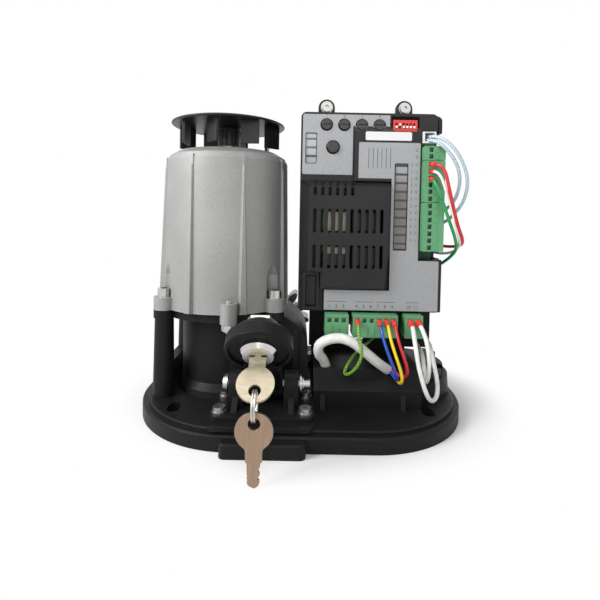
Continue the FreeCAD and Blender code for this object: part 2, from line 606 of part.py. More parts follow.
def make_front_cover():
    y0, y1 = BOX_Y0, BOX_Y0 + 5.7
    plate = box(BOX_X0, 95.0, y0, y1, BOX_Z0, BOX_Z1)
    low = box(90.0, BOX_X1, y0, y1, BOX_Z0, 113.5)
    high = box(BOX_X0, 95.0, y0, y1, 206.5, BOX_Z1)
    plate = fuse(plate, low, high)
    plate = plate.cut(box(82.4, 110, y0 - 1, y1 + 1, 113.5, 206.5))
    corners = [e for e in plate.Edges if abs(e.tangentAt(e.FirstParameter).y) > 0.99
               and (e.CenterOfMass.z > BOX_Z1 - 1 or e.CenterOfMass.z < BOX_Z0 + 1)]
    plate = plate.makeFillet(4.0, corners)
    x0, x1, z0, z1 = PANEL
    raised = polygon([(x0, y0, z0), (x0, y0, z1 + 3.5), (x0, RAISED_Y, z1), (x0, RAISED_Y, z0)], x1 - x0, X)
    strip = box(62.0, x1, RAISED_Y, y0, 92.5, z0 + 1)
    lower = box(14.5, BOX_X1 - 2, RAISED_Y + 1.5, y0, BOX_Z0 + 0.5, 91.0)
    body = fuse(plate, raised, strip, lower)
    body = body.cut(box(VENT_X0 - 0.4, VENT_X1 + 0.4, y0 - 6, y0 + 1.0, VENT_Z0 - 0.4, VENT_Z1 + 0.4))
    body = body.cut(box(8.0, 57.0, y0 - 6, y1 + 1, 104.0, 160.0))
    for x, z in POTS:
        body = body.cut(cyl(POT_R + 0.35, 12, (x, y0 - 3, z), Y))
    body = body.cut(cyl(4.7, 12, (BUTTON[0], y0 - 3, BUTTON[1]), Y))
    for a, b, c, d in (SMALL_WINDOW, LONG_WINDOW):
        body = body.cut(box(a, b, y0 - 6, y1 + 1, c, d))
    body = body.cut(box(DIP_X - DIP_W / 2 - 0.3, DIP_X + DIP_W / 2 + 0.3, y0 - 6, y1 + 1,
                        DIP_Z - DIP_H / 2 - 0.3, DIP_Z + DIP_H / 2 + 0.3))
    # space for the terminal blocks along the lower edge
    for a, b in POWER_BLOCKS:
        body = body.cut(box(a - 0.3, b + 0.3, y0 - 6, y1 + 1, BOX_Z0 - 1, BOX_Z0 + 1.0))
    return body


POWER_BLOCKS = ((16.2, 33.9), (36.6, 69.6), (72.4, 86.8))
POWER_WAYS = (3, 6, 2)


def make_vent_cover():
    y1 = BOX_Y0 + 0.9
    front = [(VENT_X0 + 7, VENT_Z0 + 3), (VENT_X1 - 3, VENT_Z0 + 3), (VENT_X1 - 6, VENT_Z1 - 7),
             (VENT_X0 + 9, VENT_Z1 - 7)]
    foot = [(VENT_X0, VENT_Z0), (VENT_X1, VENT_Z0), (VENT_X1 - 3, VENT_Z1), (VENT_X0, VENT_Z1)]

    def ring(points, y):
        return Part.makePolygon([V(x, y, z) for x, z in points + [points[0]]])

    shell = Part.makeLoft([ring(foot, y1), ring(front, VENT_Y)], True, True)
    inner_foot = [(x + (2 if x < 20 else -2), z + (2 if z < 120 else -2)) for x, z in foot]
    inner_front = [(x + (2 if x < 20 else -2), z + (2 if z < 120 else -2)) for x, z in front]
    shell = shell.cut(Part.makeLoft([ring(inner_foot, y1 + 0.01), ring(inner_front, VENT_Y + 2)], True, True))
    bands = ((6, 157.6, 172.0), (10, 132.8, 150.2), (10, 106.6, 124.0))
    for count, low, high in bands:
        for n in range(count):
            x = 8.4 + SLOT_PITCH * n
            shell = shell.cut(box(x - VENT_SLOT / 2, x + VENT_SLOT / 2, VENT_Y - 3, y1 + 1, low, high))
    return shell


def make_light_windows():
    panes = []
    for a, b, c, d in (SMALL_WINDOW, LONG_WINDOW):
        y = RAISED_Y + 0.8 if a > 30 else BOX_Y0 + 0.8
        panes.append(box(a + 0.05, b - 0.05, y, y + 2.5, c + 0.05, d - 0.05))
    return compound(panes)


def make_board():
    board = box(0.0, 81.0, BOARD_Y, BOARD_Y + 1.6, 78.5, 214.5).fuse(box(70.0, 96.5, BOARD_Y, BOARD_Y + 1.6, 78.5, 205.0))
    for x, z in POSTS:
        board = board.cut(cyl(3.6, 4, (x, BOARD_Y - 1, z), Y))
    extras = [box(44, 60, BOARD_Y - 4, BOARD_Y, 168, 188), box(22, 56, BOARD_Y - 8, BOARD_Y, 84, 98)]
    extras += [cyl(5, 8, (12 + 14 * n, BOARD_Y - 8, 176), Y) for n in range(2)]
    extras += [box(x - 4.8, x + 4.8, -27.8, BOARD_Y, z - 4.8, z + 4.8).cut(
        cyl(2.05, 6, (x, -28.5, z), Y)) for x, z in POTS]
    extras.append(box(BUTTON[0] - 4, BUTTON[0] + 4, BOARD_Y - 5, BOARD_Y, BUTTON[1] - 4, BUTTON[1] + 4))
    return fuse(board, *extras)


def make_relays():
    cases = []
    for n in range(2):
        x = 13.5 + 21 * n
        cases.append(soften(box(x, x + 18.5, -36.5, BOARD_Y, 133.0, 147.0), 0.6, lambda e: True))
        cases.append(soften(box(x, x + 18.5, -36.5, BOARD_Y, 108.0, 122.0), 0.6, lambda e: True))
    return compound(cases)


def terminal_block(x0, x1, ways, y0, y1, z0, z1):
    """Screw terminals: wire windows low on the front, screw wells above."""
    block = box(x0, x1, y0, y1, z0, z1)
    step = (x1 - x0) / ways
    for n in range(ways):
        x = x0 + step * (n + 0.5)
        block = block.cut(box(x - 1.7, x + 1.7, y0 - 1, y0 + 4, z0 + 2.0, z0 + 7.0))
        block = block.cut(cyl(1.75, 3, (x, y0 - 1, z1 - 4.5), Y))
        block = block.fuse(cyl(1.55, 2, (x, y0 + 0.6, z1 - 4.5), Y).cut(
            box(x - 0.3, x + 0.3, y0, y0 + 1.2, z1 - 7, z1 - 2)))
    return block


def make_power_terminals():
    return compound([terminal_block(a, b, w, -43.0, BOX_Y0 + 8.0, 58.0, BOX_Z0 - 0.3)
                     for (a, b), w in zip(POWER_BLOCKS, POWER_WAYS)])


SIGNAL_X0, SIGNAL_X1 = 83.0, 96.5
SIGNAL_TOP = 195.6
SIGNAL_WAYS = (2, 6, 7)


def make_signal_terminals():
    blocks = []
    top = SIGNAL_TOP
    for ways in SIGNAL_WAYS:
        low = top - ways * PITCH + 0.25
        block = box(SIGNAL_X0, SIGNAL_X1, -43.5, BOARD_Y, low, top)
        for n in range(ways):
            z = top + 0.1 - PITCH * (n + 0.5)
            block = block.cut(box(90.5, 95.0, -45, -39.5, z - 1.7, z + 1.7))
            block = block.cut(cyl(1.75, 3, (86.6, -44.5, z), Y))
            block = block.fuse(cyl(1.55, 2, (86.6, -42.9, z), Y))
        blocks.append(block)
        top -= ways * PITCH
    low = top + 0.25
    blocks.append(box(SIGNAL_X1, 101.2, -36.0, BOARD_Y, low, SIGNAL_TOP))
    return compound(blocks)


def make_connector():
    body = box(83.2, 92.4, -38.5, BOARD_Y, 197.0, 205.0)
    return body.cut(box(84.4, 91.2, -40, -30, 198.2, 204.4))


def make_knob(x, z):
    head = cyl(POT_R, 5.4, (x, BOX_Y0 - 1.4, z), Y)
    head = soften(head, 0.5, lambda e: abs(e.CenterOfMass.y - (BOX_Y0 - 1.4)) < 0.01)
    head = head.cut(box(x - 3.2, x + 3.2, BOX_Y0 - 2, BOX_Y0 - 0.4, z - 0.5, z + 0.5))
    return head.fuse(cyl(2.0, 7.0, (x, BOX_Y0 + 3.5, z), Y))


def make_button():
    x, z = BUTTON
    cap = cyl(4.35, 6.0, (x, BOX_Y0 - 2.2, z), Y)
    cap = soften(cap, 0.8, lambda e: abs(e.CenterOfMass.y - (BOX_Y0 - 2.2)) < 0.01)
    return cap.fuse(cyl(1.8, 4.0, (x, BOX_Y0 + 3.0, z), Y))


def make_dip_body():
    w, h = DIP_W / 2, DIP_H / 2
    body = box(DIP_X - w, DIP_X + w, BOX_Y0 - 0.8, BOX_Y0 + 9, DIP_Z - h, DIP_Z + h)
    for n in range(6):
        x = DIP_X + DIP_PITCH * (n - 2.5)
        body = body.cut(box(x - 0.8, x + 0.8, BOX_Y0 - 2, BOX_Y0 + 2, DIP_Z - 2.0, DIP_Z + 2.0))
    return body


def make_dip_lever(n):
    x = DIP_X + DIP_PITCH * (n - 2.5)
    z = DIP_Z + (0.85 if n == 1 else -0.85)
    return box(x - 0.65, x + 0.65, BOX_Y0 - 1.6, BOX_Y0 + 1.9, z - 0.75, z + 0.75)


def make_capacitor():
    can = cyl(18.0, 72, (34.0, 24.5, 78.0))
    can = soften(can, 2.0, lambda e: e.Curve.TypeId == "Part::GeomCircle")
    strap = cyl(19.0, 8, (34.0, 24.5, 110.0)).cut(cyl(18.0, 8, (34.0, 24.5, 110.0)))
    foot = box(26.0, 42.0, BRACKET_Y + 3.0, 8.0, 110.0, 118.0).cut(cyl(18.5, 10, (34.0, 24.5, 109.0)))
    return fuse(can, strap, foot)


def make_box_screws():
    return compound([screw((x, -27.0, EAR_Z), 3.6, 2.2, 1.8, 5, V(0, -1, 0), 1.2, 4.4) for x in (15.0, 72.0)])


def make_pan_screws():
    z = DECK_H + 5.0
    low = [screw((x, y, z), 3.9, 2.8, 2.0, 7, Z, 1.5, 4.6) for x, y in BRACKET_SCREWS + FLANGE_SCREWS]
    return compound(low)


# ---------------------------------------------------------------- wires
def tube(points, r):
    """A plain round tube along straight runs joined by tangent arcs."""
    points = [V(*p) for p in points]
    edges = []
    radii = []
    start = points[0]
    for i in range(1, len(points) - 1):
        a, b, c = points[i - 1], points[i], points[i + 1]
        u, w = (a - b), (c - b)
        reach = 0.45 * min(u.Length, w.Length)
        u.normalize()
        w.normalize()
        turn = math.pi - u.getAngle(w)
        radii.append(reach / math.tan(turn / 2))
        p, q = b + u * reach, b + w * reach
        bis = u + w
        bis.normalize()
        dist = reach / math.sin(turn / 2) * 1.0
        centre = b + bis * (radii[-1] / math.cos(turn / 2))
        mid = centre - bis * radii[-1]
        edges.append(Part.LineSegment(start, p).toShape())
        edges.append(Part.Arc(p, mid, q).toShape())
        start = q
    edges.append(Part.LineSegment(start, points[-1]).toShape())
    path = Part.Wire(edges)
    direction = points[1] - points[0]
    section = Part.Wire(Part.makeCircle(r, points[0], direction))
    solid = path.makePipeShell([section], True, True)
    flow = math.pi * r * r * path.Length
    print("  length %.0f  tightest %.1f dia  volume/flow %.3f"
          % (path.Length, min(radii) / (2 * r), solid.Volume / flow))
    return solid


WIRE_R = 1.0
WIRES = {
    "earth_wire": (WIRE_R, [(39.35, -39.0, 62.0), (39.35, -47.0, 62.0), (41.0, -53.0, 54.0), (40.0, -55.0, 44.0),
                            (34.0, -53.0, 36.0), (28.5, -47.5, 38.5), (30.0, -43.0, 45.0), (38.0, -37.0, 50.0),
                            (52.0, -24.0, 50.0), (58.0, -8.0, 50.0), (58.0, 2.0, 50.0)]),
    "blue_wire": (WIRE_R, [(55.85, -39.0, 62.0), (55.85, -47.0, 62.0), (57.5, -53.0, 54.0), (61.0, -56.0, 44.0),
                           (65.5, -52.0, 38.5), (69.0, -44.0, 43.0), (70.0, -36.0, 42.5), (70.0, -36.0, 35.0)]),
    "yellow_wire": (WIRE_R, [(61.35, -39.0, 62.0), (61.35, -48.5, 62.0), (62.0, -57.0, 53.0), (64.0, -60.5, 42.0),
                             (67.5, -58.5, 34.0), (71.5, -50.0, 37.0), (74.0, -42.0, 42.5), (75.0, -33.0, 42.5),
                             (75.0, -33.0, 35.0)]),
    "red_wire": (WIRE_R, [(66.85, -39.0, 62.0), (66.85, -47.0, 62.0), (67.0, -54.0, 54.0), (71.0, -58.0, 43.5),
                          (76.5, -56.0, 36.5), (79.5, -48.0, 40.0), (80.0, -38.0, 43.0), (80.0, -38.0, 35.0)]),
    "sleeved_cable": (2.9, [(18.0, -33.0, 35.0), (18.0, -33.0, 45.0), (15.5, -42.0, 53.0), (25.0, -49.0, 55.5),
                            (37.0, -50.0, 52.0), (48.0, -46.0, 46.5), (55.0, -37.0, 44.5), (55.0, -37.0, 35.0)]),
    "capacitor_wire_left": (1.3, [(76.0, -39.0, 62.0), (76.0, -48.0, 62.0), (78.0, -55.0, 53.0),
                                  (82.0, -58.0, 40.0), (86.0, -58.0, 27.0), (92.0, -54.0, 19.5),
                                  (96.5, -47.0, 25.0), (97.0, -41.0, 36.0), (97.0, -32.0, 45.0),
                                  (97.0, -18.0, 49.0), (97.0, 2.0, 49.5)]),
    "capacitor_wire_right": (1.3, [(83.2, -39.0, 62.0), (83.2, -47.0, 62.0), (86.0, -53.0, 54.0),
                                   (88.5, -54.5, 43.0), (90.5, -49.0, 34.0), (91.0, -39.0, 34.0),
                                   (91.0, -27.0, 41.0), (91.0, -12.0, 44.0), (91.0, 2.0, 44.0)]),
    "limit_wire_red": (0.9, [(92.7, -39.5, 183.0), (92.7, -48.0, 183.0), (98.0, -54.0, 177.0),
                             (104.5, -55.5, 164.0), (109.0, -53.0, 150.0), (111.0, -47.0, 138.0),
                             (108.0, -38.0, 129.0), (104.5, -27.0, 125.0), (102.0, -13.0, 124.5),
                             (102.0, 2.0, 124.0)]),
    "limit_wire_white": (0.9, [(92.7, -39.5, 177.9), (92.7, -45.5, 177.9), (95.5, -50.0, 170.0),
                               (100.5, -51.0, 158.0), (104.5, -48.5, 146.0), (105.8, -41.5, 133.0),
                               (104.6, -33.0, 122.0), (103.4, -23.0, 117.5), (102.0, -11.0, 117.0),
                               (102.0, 2.0, 117.0)]),
    "limit_wire_green": (0.9, [(92.7, -39.5, 172.8), (92.7, -44.5, 172.8), (94.5, -47.0, 163.0),
                               (98.0, -47.0, 152.0), (101.5, -43.5, 140.0), (102.4, -36.5, 126.0),
                               (102.6, -28.0, 115.5), (102.6, -18.0, 109.0), (102.0, -8.0, 106.5),
                               (102.0, 2.0, 106.0)]),
    "sensor_wire_outer": (0.8, [(89.8, -30.0, 203.0), (89.8, -41.0, 203.0), (98.0, -48.0, 197.0),
                                (107.0, -50.5, 186.0), (113.0, -48.0, 173.0), (112.5, -43.0, 160.0),
                                (109.0, -35.0, 149.0), (104.5, -25.0, 142.0), (102.0, -13.0, 139.0),
                                (102.0, 2.0, 138.0)]),
    "sensor_wire_inner": (0.8, [(86.0, -30.0, 200.2), (86.0, -41.5, 200.2), (93.0, -47.0, 196.0),
                                (102.0, -46.5, 187.0), (107.5, -44.5, 175.0), (107.5, -40.0, 163.0),
                                (105.0, -32.0, 154.0), (103.0, -22.0, 149.0), (102.0, -11.0, 147.0),
                                (102.0, 2.0, 146.0)]),
}


# ---------------------------------------------------------------- build
PIECES = {
    "base_casting": make_base,
    "gearbox_housing": make_gearbox,
    "motor_housing": make_motor_housing,
    "housing_screws": make_housing_screws,
    "pan_screws": make_pan_screws,
    "stator": make_stator,
    "bearings": make_bearings,
    "motor_shaft": make_motor_shaft,
    "rotor": make_rotor,
    "cooling_fan": make_fan,
    "worm_wheel": make_wheel,
    "output_shaft": make_output_shaft,
    "drive_pinion": make_pinion,
    "pinion_bolt": make_pinion_bolt,
    "lever_bracket": make_bracket,
    "release_lever": make_lever,
    "pivot_pin": make_pivot_pin,
    "lock_body": make_lock_body,
    "lock_nut": make_lock_nut,
    "lock_plug": make_lock_plug,
    "key_in_lock": make_key_in_lock,
    "key_ring": make_ring,
    "spare_key": make_spare_key,
    "release_plunger": make_plunger,
    "control_bracket": make_control_bracket,
    "control_box": make_control_box,
    "front_cover": make_front_cover,
    "vent_cover": make_vent_cover,
    "light_windows": make_light_windows,
    "circuit_board": make_board,
    "relays": make_relays,
    "power_terminals": make_power_terminals,
    "signal_terminals": make_signal_terminals,
    "wire_connector": make_connector,
    "run_capacitor": make_capacitor,
    "box_screws": make_box_screws,
    "learn_button": make_button,
    "dip_body": make_dip_body,
}

for name, make in PIECES.items():
    print(name)
    export(name, make())
for n, (x, z) in enumerate(POTS):
    export("knob_%d" % (n + 1), make_knob(x, z))
for n in range(6):
    export("dip_lever_%d" % (n + 1), make_dip_lever(n))
for name, (radius, points) in WIRES.items():
    print(name)
    export(name, tube(points, radius))
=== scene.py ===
# %% [markdown]
# A sliding gate motor with its cover off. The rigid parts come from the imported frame. This
# lesson sets up the view, gives each part its finish, draws the fan, vent hood, terminals and
# spare key more finely, and adds what the solids leave out: label films, insulated wires,
# ferrules and printed marks.
# %% Frame
import bpy, bmesh, math
from mathutils import Vector, Matrix, Euler


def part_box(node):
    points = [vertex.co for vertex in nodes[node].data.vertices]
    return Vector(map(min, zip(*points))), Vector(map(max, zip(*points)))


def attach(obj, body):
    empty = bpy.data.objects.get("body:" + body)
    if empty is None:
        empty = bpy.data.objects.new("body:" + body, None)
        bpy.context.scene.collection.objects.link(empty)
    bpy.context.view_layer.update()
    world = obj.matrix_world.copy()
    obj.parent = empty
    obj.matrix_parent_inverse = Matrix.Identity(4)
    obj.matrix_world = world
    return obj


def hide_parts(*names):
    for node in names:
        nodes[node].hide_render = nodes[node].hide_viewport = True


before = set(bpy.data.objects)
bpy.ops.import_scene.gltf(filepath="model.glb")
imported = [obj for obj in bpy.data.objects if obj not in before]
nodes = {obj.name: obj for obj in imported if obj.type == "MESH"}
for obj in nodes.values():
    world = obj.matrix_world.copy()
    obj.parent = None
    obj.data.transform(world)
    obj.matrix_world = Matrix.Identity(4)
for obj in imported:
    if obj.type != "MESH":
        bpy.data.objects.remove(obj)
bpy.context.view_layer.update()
MM = 0.001
scene = bpy.context.scene

# %% [markdown]
# The view is close: the keys hang nearer to the lens than the base, so a short lens at a
# short distance gives the same strong perspective. It looks down by a degree and a half and
# rolls by a degree, as the photograph does. A small downward shift then centres the motor.
# %% Camera
CAMERA_AT = (-3.0, -338.0, 143.5)
PITCH, ROLL = 88.5, 1.1
camera_data = bpy.data.cameras.new("camera")
camera = bpy.data.objects.new("camera", camera_data)
scene.collection.objects.link(camera)
camera_data.lens = 25.2
camera_data.shift_y = -0.1217
camera_data.clip_start = 0.01
look = Euler((math.radians(PITCH), 0, 0)).to_matrix().to_4x4()
roll = Matrix.Rotation(math.radians(ROLL), 4, "Z")
camera.matrix_world = Matrix.Translation(Vector(CAMERA_AT) * MM) @ look @ roll
scene.camera = camera
scene.view_settings.view_transform = "Standard"
print("lens mm:", round(camera_data.lens, 1), "place mm:", CAMERA_AT)

# %% [markdown]
# Shader maths reads better as plain expressions. One small class wraps a socket and adds a
# node for each operator, so `1.0 - mask` builds a Math node.
# %% Shader sockets as numbers
class Wire:
    def __init__(self, tree, socket):
        self.tree, self.socket = tree, socket

    def math(self, operation, other=0.0, swap=False):
        node = self.tree.nodes.new("ShaderNodeMath")
        node.operation = operation
        pair = (other, self) if swap else (self, other)
        for place, value in zip(node.inputs, pair):
            feed(self.tree, place, value)
        return Wire(self.tree, node.outputs[0])

    def __add__(self, other): return self.math("ADD", other)
    def __sub__(self, other): return self.math("SUBTRACT", other)
    def __rsub__(self, other): return self.math("SUBTRACT", other, True)
    def __mul__(self, other): return self.math("MULTIPLY", other)
    def __gt__(self, other): return self.math("GREATER_THAN", other)
    def __lt__(self, other): return self.math("LESS_THAN", other)


def feed(tree, place, value):
    if isinstance(value, Wire):
        tree.links.new(value.socket, place)
    else:
        place.default_value = value


print("wire operators: + - * > <")

# %% [markdown]
# Most finishes need the same few nodes: noise for grain, a smooth ramp for a mask, a mix for
# tints and a bump for relief. One class holds a Principled shader and makes them. On worn
# edges the paint is thin, and an edge shows where the smoothed normal leans from the true one.
# %% One material
class Finish:
    """One material: its shader, and `make` for any node that feeds it."""

    def __init__(self, name, color, roughness=0.5, metallic=0.0, **shader):
        self.material = bpy.data.materials.new(name)
        self.material.use_nodes = True
        self.tree = self.material.node_tree
        self.shader = self.tree.nodes["Principled BSDF"]
        self.set("Base Color", (*color, 1.0))
        self.set("Roughness", roughness)
        self.set("Metallic", metallic)
        for key, value in shader.items():
            self.set(key.replace("_", " "), value)
        self.place = self.make("ShaderNodeTexCoord", out="Object")

    def set(self, name, value):
        feed(self.tree, self.shader.inputs[name], value)

    def make(self, kind, settings=None, out=0, **values):
        node = self.tree.nodes.new(kind)
        for key, value in (settings or {}).items():
            setattr(node, key, value)
        for key, value in values.items():
            feed(self.tree, node.inputs[key.replace("_", " ")], value)
        return Wire(self.tree, node.outputs[out])

    def noise(self, scale, detail=4.0, roughness=0.55, place=None):
        return self.make("ShaderNodeTexNoise", Vector=place or self.place, Scale=scale, Detail=detail,
                         Roughness=roughness)

    def mix(self, factor, low, high):
        """A blend of two colours by a mask."""
        node = self.tree.nodes.new("ShaderNodeMix")
        node.data_type = "RGBA"
        feed(self.tree, node.inputs[0], factor)
        for place, value in ((node.inputs[6], low), (node.inputs[7], high)):
            feed(self.tree, place, value if isinstance(value, Wire) else (*value, 1.0))
        return Wire(self.tree, node.outputs[2])

    def split(self):
        node = self.tree.nodes.new("ShaderNodeSeparateXYZ")
        self.tree.links.new(self.place.socket, node.inputs[0])
        return [Wire(self.tree, s) for s in node.outputs]

    def ramp(self, value, low, high):
        """0 below low, 1 above high, smooth between."""
        return self.make("ShaderNodeMapRange", {"interpolation_type": "SMOOTHSTEP"}, Value=value,
                         **{"From_Min": low, "From_Max": high})

    def bump(self, height, strength, distance):
        node = self.tree.nodes.new("ShaderNodeBump")
        node.inputs["Strength"].default_value = strength
        node.inputs["Distance"].default_value = distance
        feed(self.tree, node.inputs["Height"], height)
        self.tree.links.new(node.outputs[0], self.shader.inputs["Normal"])

    def edges(self, radius):
        """1 on worn outer edges, by how far the smoothed normal leans from the true one."""
        bevel = self.tree.nodes.new("ShaderNodeBevel")
        bevel.samples = 4
        bevel.inputs["Radius"].default_value = radius
        lean = self.make("ShaderNodeVectorMath", {"operation": "DOT_PRODUCT"}, out="Value")
        node = lean.socket.node
        self.tree.links.new(bevel.outputs[0], node.inputs[0])
        true = self.tree.nodes.new("ShaderNodeNewGeometry")
        self.tree.links.new(true.outputs["True Normal"], node.inputs[1])
        return self.ramp(1.0 - lean, 0.02, 0.2)


def paint(finish, *names):
    for name in names:
        mesh = nodes[name].data
        mesh.materials.clear()
        mesh.materials.append(finish.material)
    print(finish.material.name, "on", len(names))


# %% [markdown]
# The base, gearbox and lever bracket are aluminium castings under satin black powder coat,
# which lies uneven like orange peel, holds a little dust and rubs paler on edges. The moulded
# lever and the steel bracket get the same build-up with their own grain and a darker tone.
# %% Black castings
def cast_black(name, tone, grain, roughness):
    f = Finish(name, (tone, tone, tone * 1.05), roughness, Specular_IOR_Level=0.14)
    dust = f.ramp(f.noise(55.0, 6.0), 0.5, 0.75)
    worn = f.edges(0.0005) * 0.35
    body = f.mix(dust * 0.4, (tone, tone, tone * 1.05), (tone * 2.2, tone * 2.2, tone * 2.3))
    f.set("Base Color", f.mix(worn, body, (0.07, 0.07, 0.073)))
    f.set("Roughness", f.noise(160.0, 3.0) * 0.22 + (roughness - 0.1))
    f.bump(f.noise(grain, 3.0), 0.35, 0.0004)
    return f


casting = cast_black("powder_coated_casting", 0.0095, 900.0, 0.46)
paint(casting, "base_casting", "gearbox_housing", "lever_bracket")
moulding = cast_black("lever_moulding", 0.006, 1500.0, 0.42)
paint(moulding, "release_lever")
sheet_black = cast_black("bracket_paint", 0.007, 700.0, 0.4)
paint(sheet_black, "control_bracket")

# %% [markdown]
# The motor housing is bare cast aluminium. Its skin is a fine dull grain with darker specks
# and soft clouds, not a mirror, so two noises drive its colour and two more its roughness and
# its bump.
# %% Bare cast aluminium
alu = Finish("bare_cast_aluminium", (0.36, 0.355, 0.345), 0.5, 0.35)
cloud = alu.noise(14.0, 5.0)
speck = alu.ramp(alu.noise(1000.0, 2.0), 0.5, 0.68)
tone = alu.mix(alu.ramp(cloud, 0.3, 0.7), (0.295, 0.293, 0.288), (0.345, 0.342, 0.336))
tone = alu.mix(speck * 0.34, tone, (0.2, 0.197, 0.19))
alu.set("Base Color", alu.mix(alu.edges(0.0008) * 0.7, tone, (0.55, 0.545, 0.535)))
alu.set("Roughness", alu.noise(300.0, 2.0) * 0.25 + 0.4)
alu.bump(alu.noise(1300.0, 3.0), 0.3, 0.0003)
paint(alu, "motor_housing")

# %% [markdown]
# Small metal parts differ mostly in tint and in how they were worked: zinc plate is dull and
# a little cloudy, turned steel is brighter with fine lines, chrome is smooth and keys are warm.
# %% Metals
def metal(name, color, roughness, scale=400.0, bump=0.15, streak=None):
    f = Finish(name, color, roughness, 1.0)
    where = f.place
    if streak:
        where = f.make("ShaderNodeMapping", {}, Vector=f.place, Scale=streak)
    grain = f.noise(scale, 3.0, place=where)
    dark = tuple(c * 0.84 for c in color)
    f.set("Base Color", f.mix(f.ramp(grain, 0.35, 0.7), dark, color))
    f.set("Roughness", grain * 0.25 + (roughness - 0.12))
    f.bump(grain, bump, 0.0002)
    return f


zinc_plate = metal("zinc_plated_screws", (0.42, 0.42, 0.405), 0.36)
paint(metal("socket_steel", (0.6, 0.6, 0.59), 0.26, 500.0, 0.1), "housing_screws")
paint(zinc_plate, "pan_screws", "box_screws", "pinion_bolt", "pivot_pin", "release_plunger")
turned = metal("turned_steel", (0.56, 0.56, 0.56), 0.3, 260.0, 0.2, (0.2, 0.2, 6.0))
paint(turned, "motor_shaft", "output_shaft", "bearings", "rotor")
paint(metal("oiled_gear_steel", (0.3, 0.3, 0.31), 0.38, 220.0), "drive_pinion")
paint(metal("machined_bronze", (0.66, 0.45, 0.2), 0.35, 300.0), "worm_wheel")
paint(metal("varnished_copper", (0.55, 0.25, 0.1), 0.4, 90.0), "stator")
chrome = metal("polished_chrome", (0.66, 0.65, 0.63), 0.16, 60.0, 0.03)
paint(chrome, "lock_body")
zinc_cast = metal("zinc_die_casting", (0.48, 0.475, 0.46), 0.3, 350.0, 0.2)
paint(zinc_cast, "lock_nut", "lock_plug")
key_nickel = metal("nickel_key", (0.52, 0.46, 0.34), 0.38, 150.0, 0.06, (1.0, 0.3, 4.0))
paint(key_nickel, "key_in_lock")
paint(metal("bright_ring", (0.6, 0.59, 0.55), 0.24, 200.0), "key_ring")

# %% [markdown]
# The control box is spark-eroded black moulding, and knobs, switches, relays and terminals are
# mouldings too. They share one recipe: faint blotches in the colour, a little unevenness in
# the gloss and a fine grain. One relay behind the vents is pale, picked out by its position.
# %% Mouldings
def plastic(name, color, roughness, grain=1300.0, bump=0.2, vary=0.25, **shader):
    f = Finish(name, color, roughness, 0.0, **shader)
    blotch = f.ramp(f.noise(35.0, 3.0), 0.3, 0.75)
    pale = tuple(min(1.0, c * (1.0 + vary) + 0.002) for c in color)
    f.set("Base Color", f.mix(blotch, color, pale))
    f.set("Roughness", f.noise(220.0, 2.0) * 0.16 + (roughness - 0.08))
    f.bump(f.noise(grain, 2.0), bump, 0.0003)
    return f


box_black = plastic("box_moulding", (0.009, 0.009, 0.010), 0.42, Specular_IOR_Level=0.3)
paint(box_black, "control_box", "front_cover")
paint(plastic("knob_moulding", (0.008, 0.008, 0.008), 0.3, 900.0, 0.1), "learn_button",
      *["knob_%d" % n for n in (1, 2, 3, 4)])
paint(plastic("solder_mask", (0.02, 0.13, 0.06), 0.35), "circuit_board")
relay = plastic("relay_case", (0.55, 0.5, 0.39), 0.4)
x, y, z = relay.split()
pale = (x > 0.0105) * (x < 0.0345) * (z > 0.117) * (z < 0.149)
relay.set("Base Color", relay.mix(pale, (0.02, 0.02, 0.022), (0.58, 0.52, 0.40)))
paint(relay, "relays")
paint(plastic("white_nylon", (0.78, 0.77, 0.72), 0.4), "wire_connector")
paint(plastic("capacitor_can", (0.66, 0.63, 0.55), 0.4), "run_capacitor")
paint(plastic("switch_red", (0.6, 0.02, 0.015), 0.3, 900.0, 0.05), "dip_body")
paint(plastic("switch_lever", (0.85, 0.85, 0.82), 0.35, 900.0, 0.05),
      *["dip_lever_%d" % n for n in range(1, 7)])

# %% [markdown]
# The light windows are clear strips over a row of small lamps. A sine along the height parts
# them into cells, and near the top a painted highlight turns the warm tint paler and cooler.
# %% Light windows
CELL_PITCH = 0.0062
pane = plastic("light_window", (0.3, 0.34, 0.34), 0.1, 500.0, 0.02, Coat_Weight=0.6)
x, y, z = pane.split()
cell = (z * (2 * math.pi / CELL_PITCH) + 0.6).math("SINE")
# warm glass below, and a painted highlight, paler and cooler, along the top
glass_and_highlight = pane.mix(pane.ramp(z, 0.16, 0.182), (0.17, 0.15, 0.125), (0.34, 0.37, 0.40))
pane.set("Base Color", pane.mix(pane.ramp(cell, 0.55, 0.8), glass_and_highlight, (0.035, 0.035, 0.045)))
paint(pane, "light_windows")

# %% [markdown]
# The label is a silver-grey polyester film with a fine metallic flake.
# %% Label film
film = Finish("label_film", (0.33, 0.335, 0.345), 0.42, 0.25)
flake = film.noise(1800.0, 2.0)
flakes = film.ramp(flake, 0.4, 0.65)
film.set("Base Color", film.mix(flakes, (0.30, 0.305, 0.315), (0.37, 0.375, 0.385)))
film.set("Roughness", film.noise(60.0, 3.0) * 0.2 + 0.32)
film.bump(flake, 0.08, 0.0001)
print("film:", film.material.name)


# %% [markdown]
# Films, steps and covers all face the front, so each is a flat outline with holes, filled by a
# 2D curve and given its thickness there. A thicker one is welded and its edges are softened.
# %% Flat pieces
FILM_THICK = 0.12
ROUND_STEPS = 32


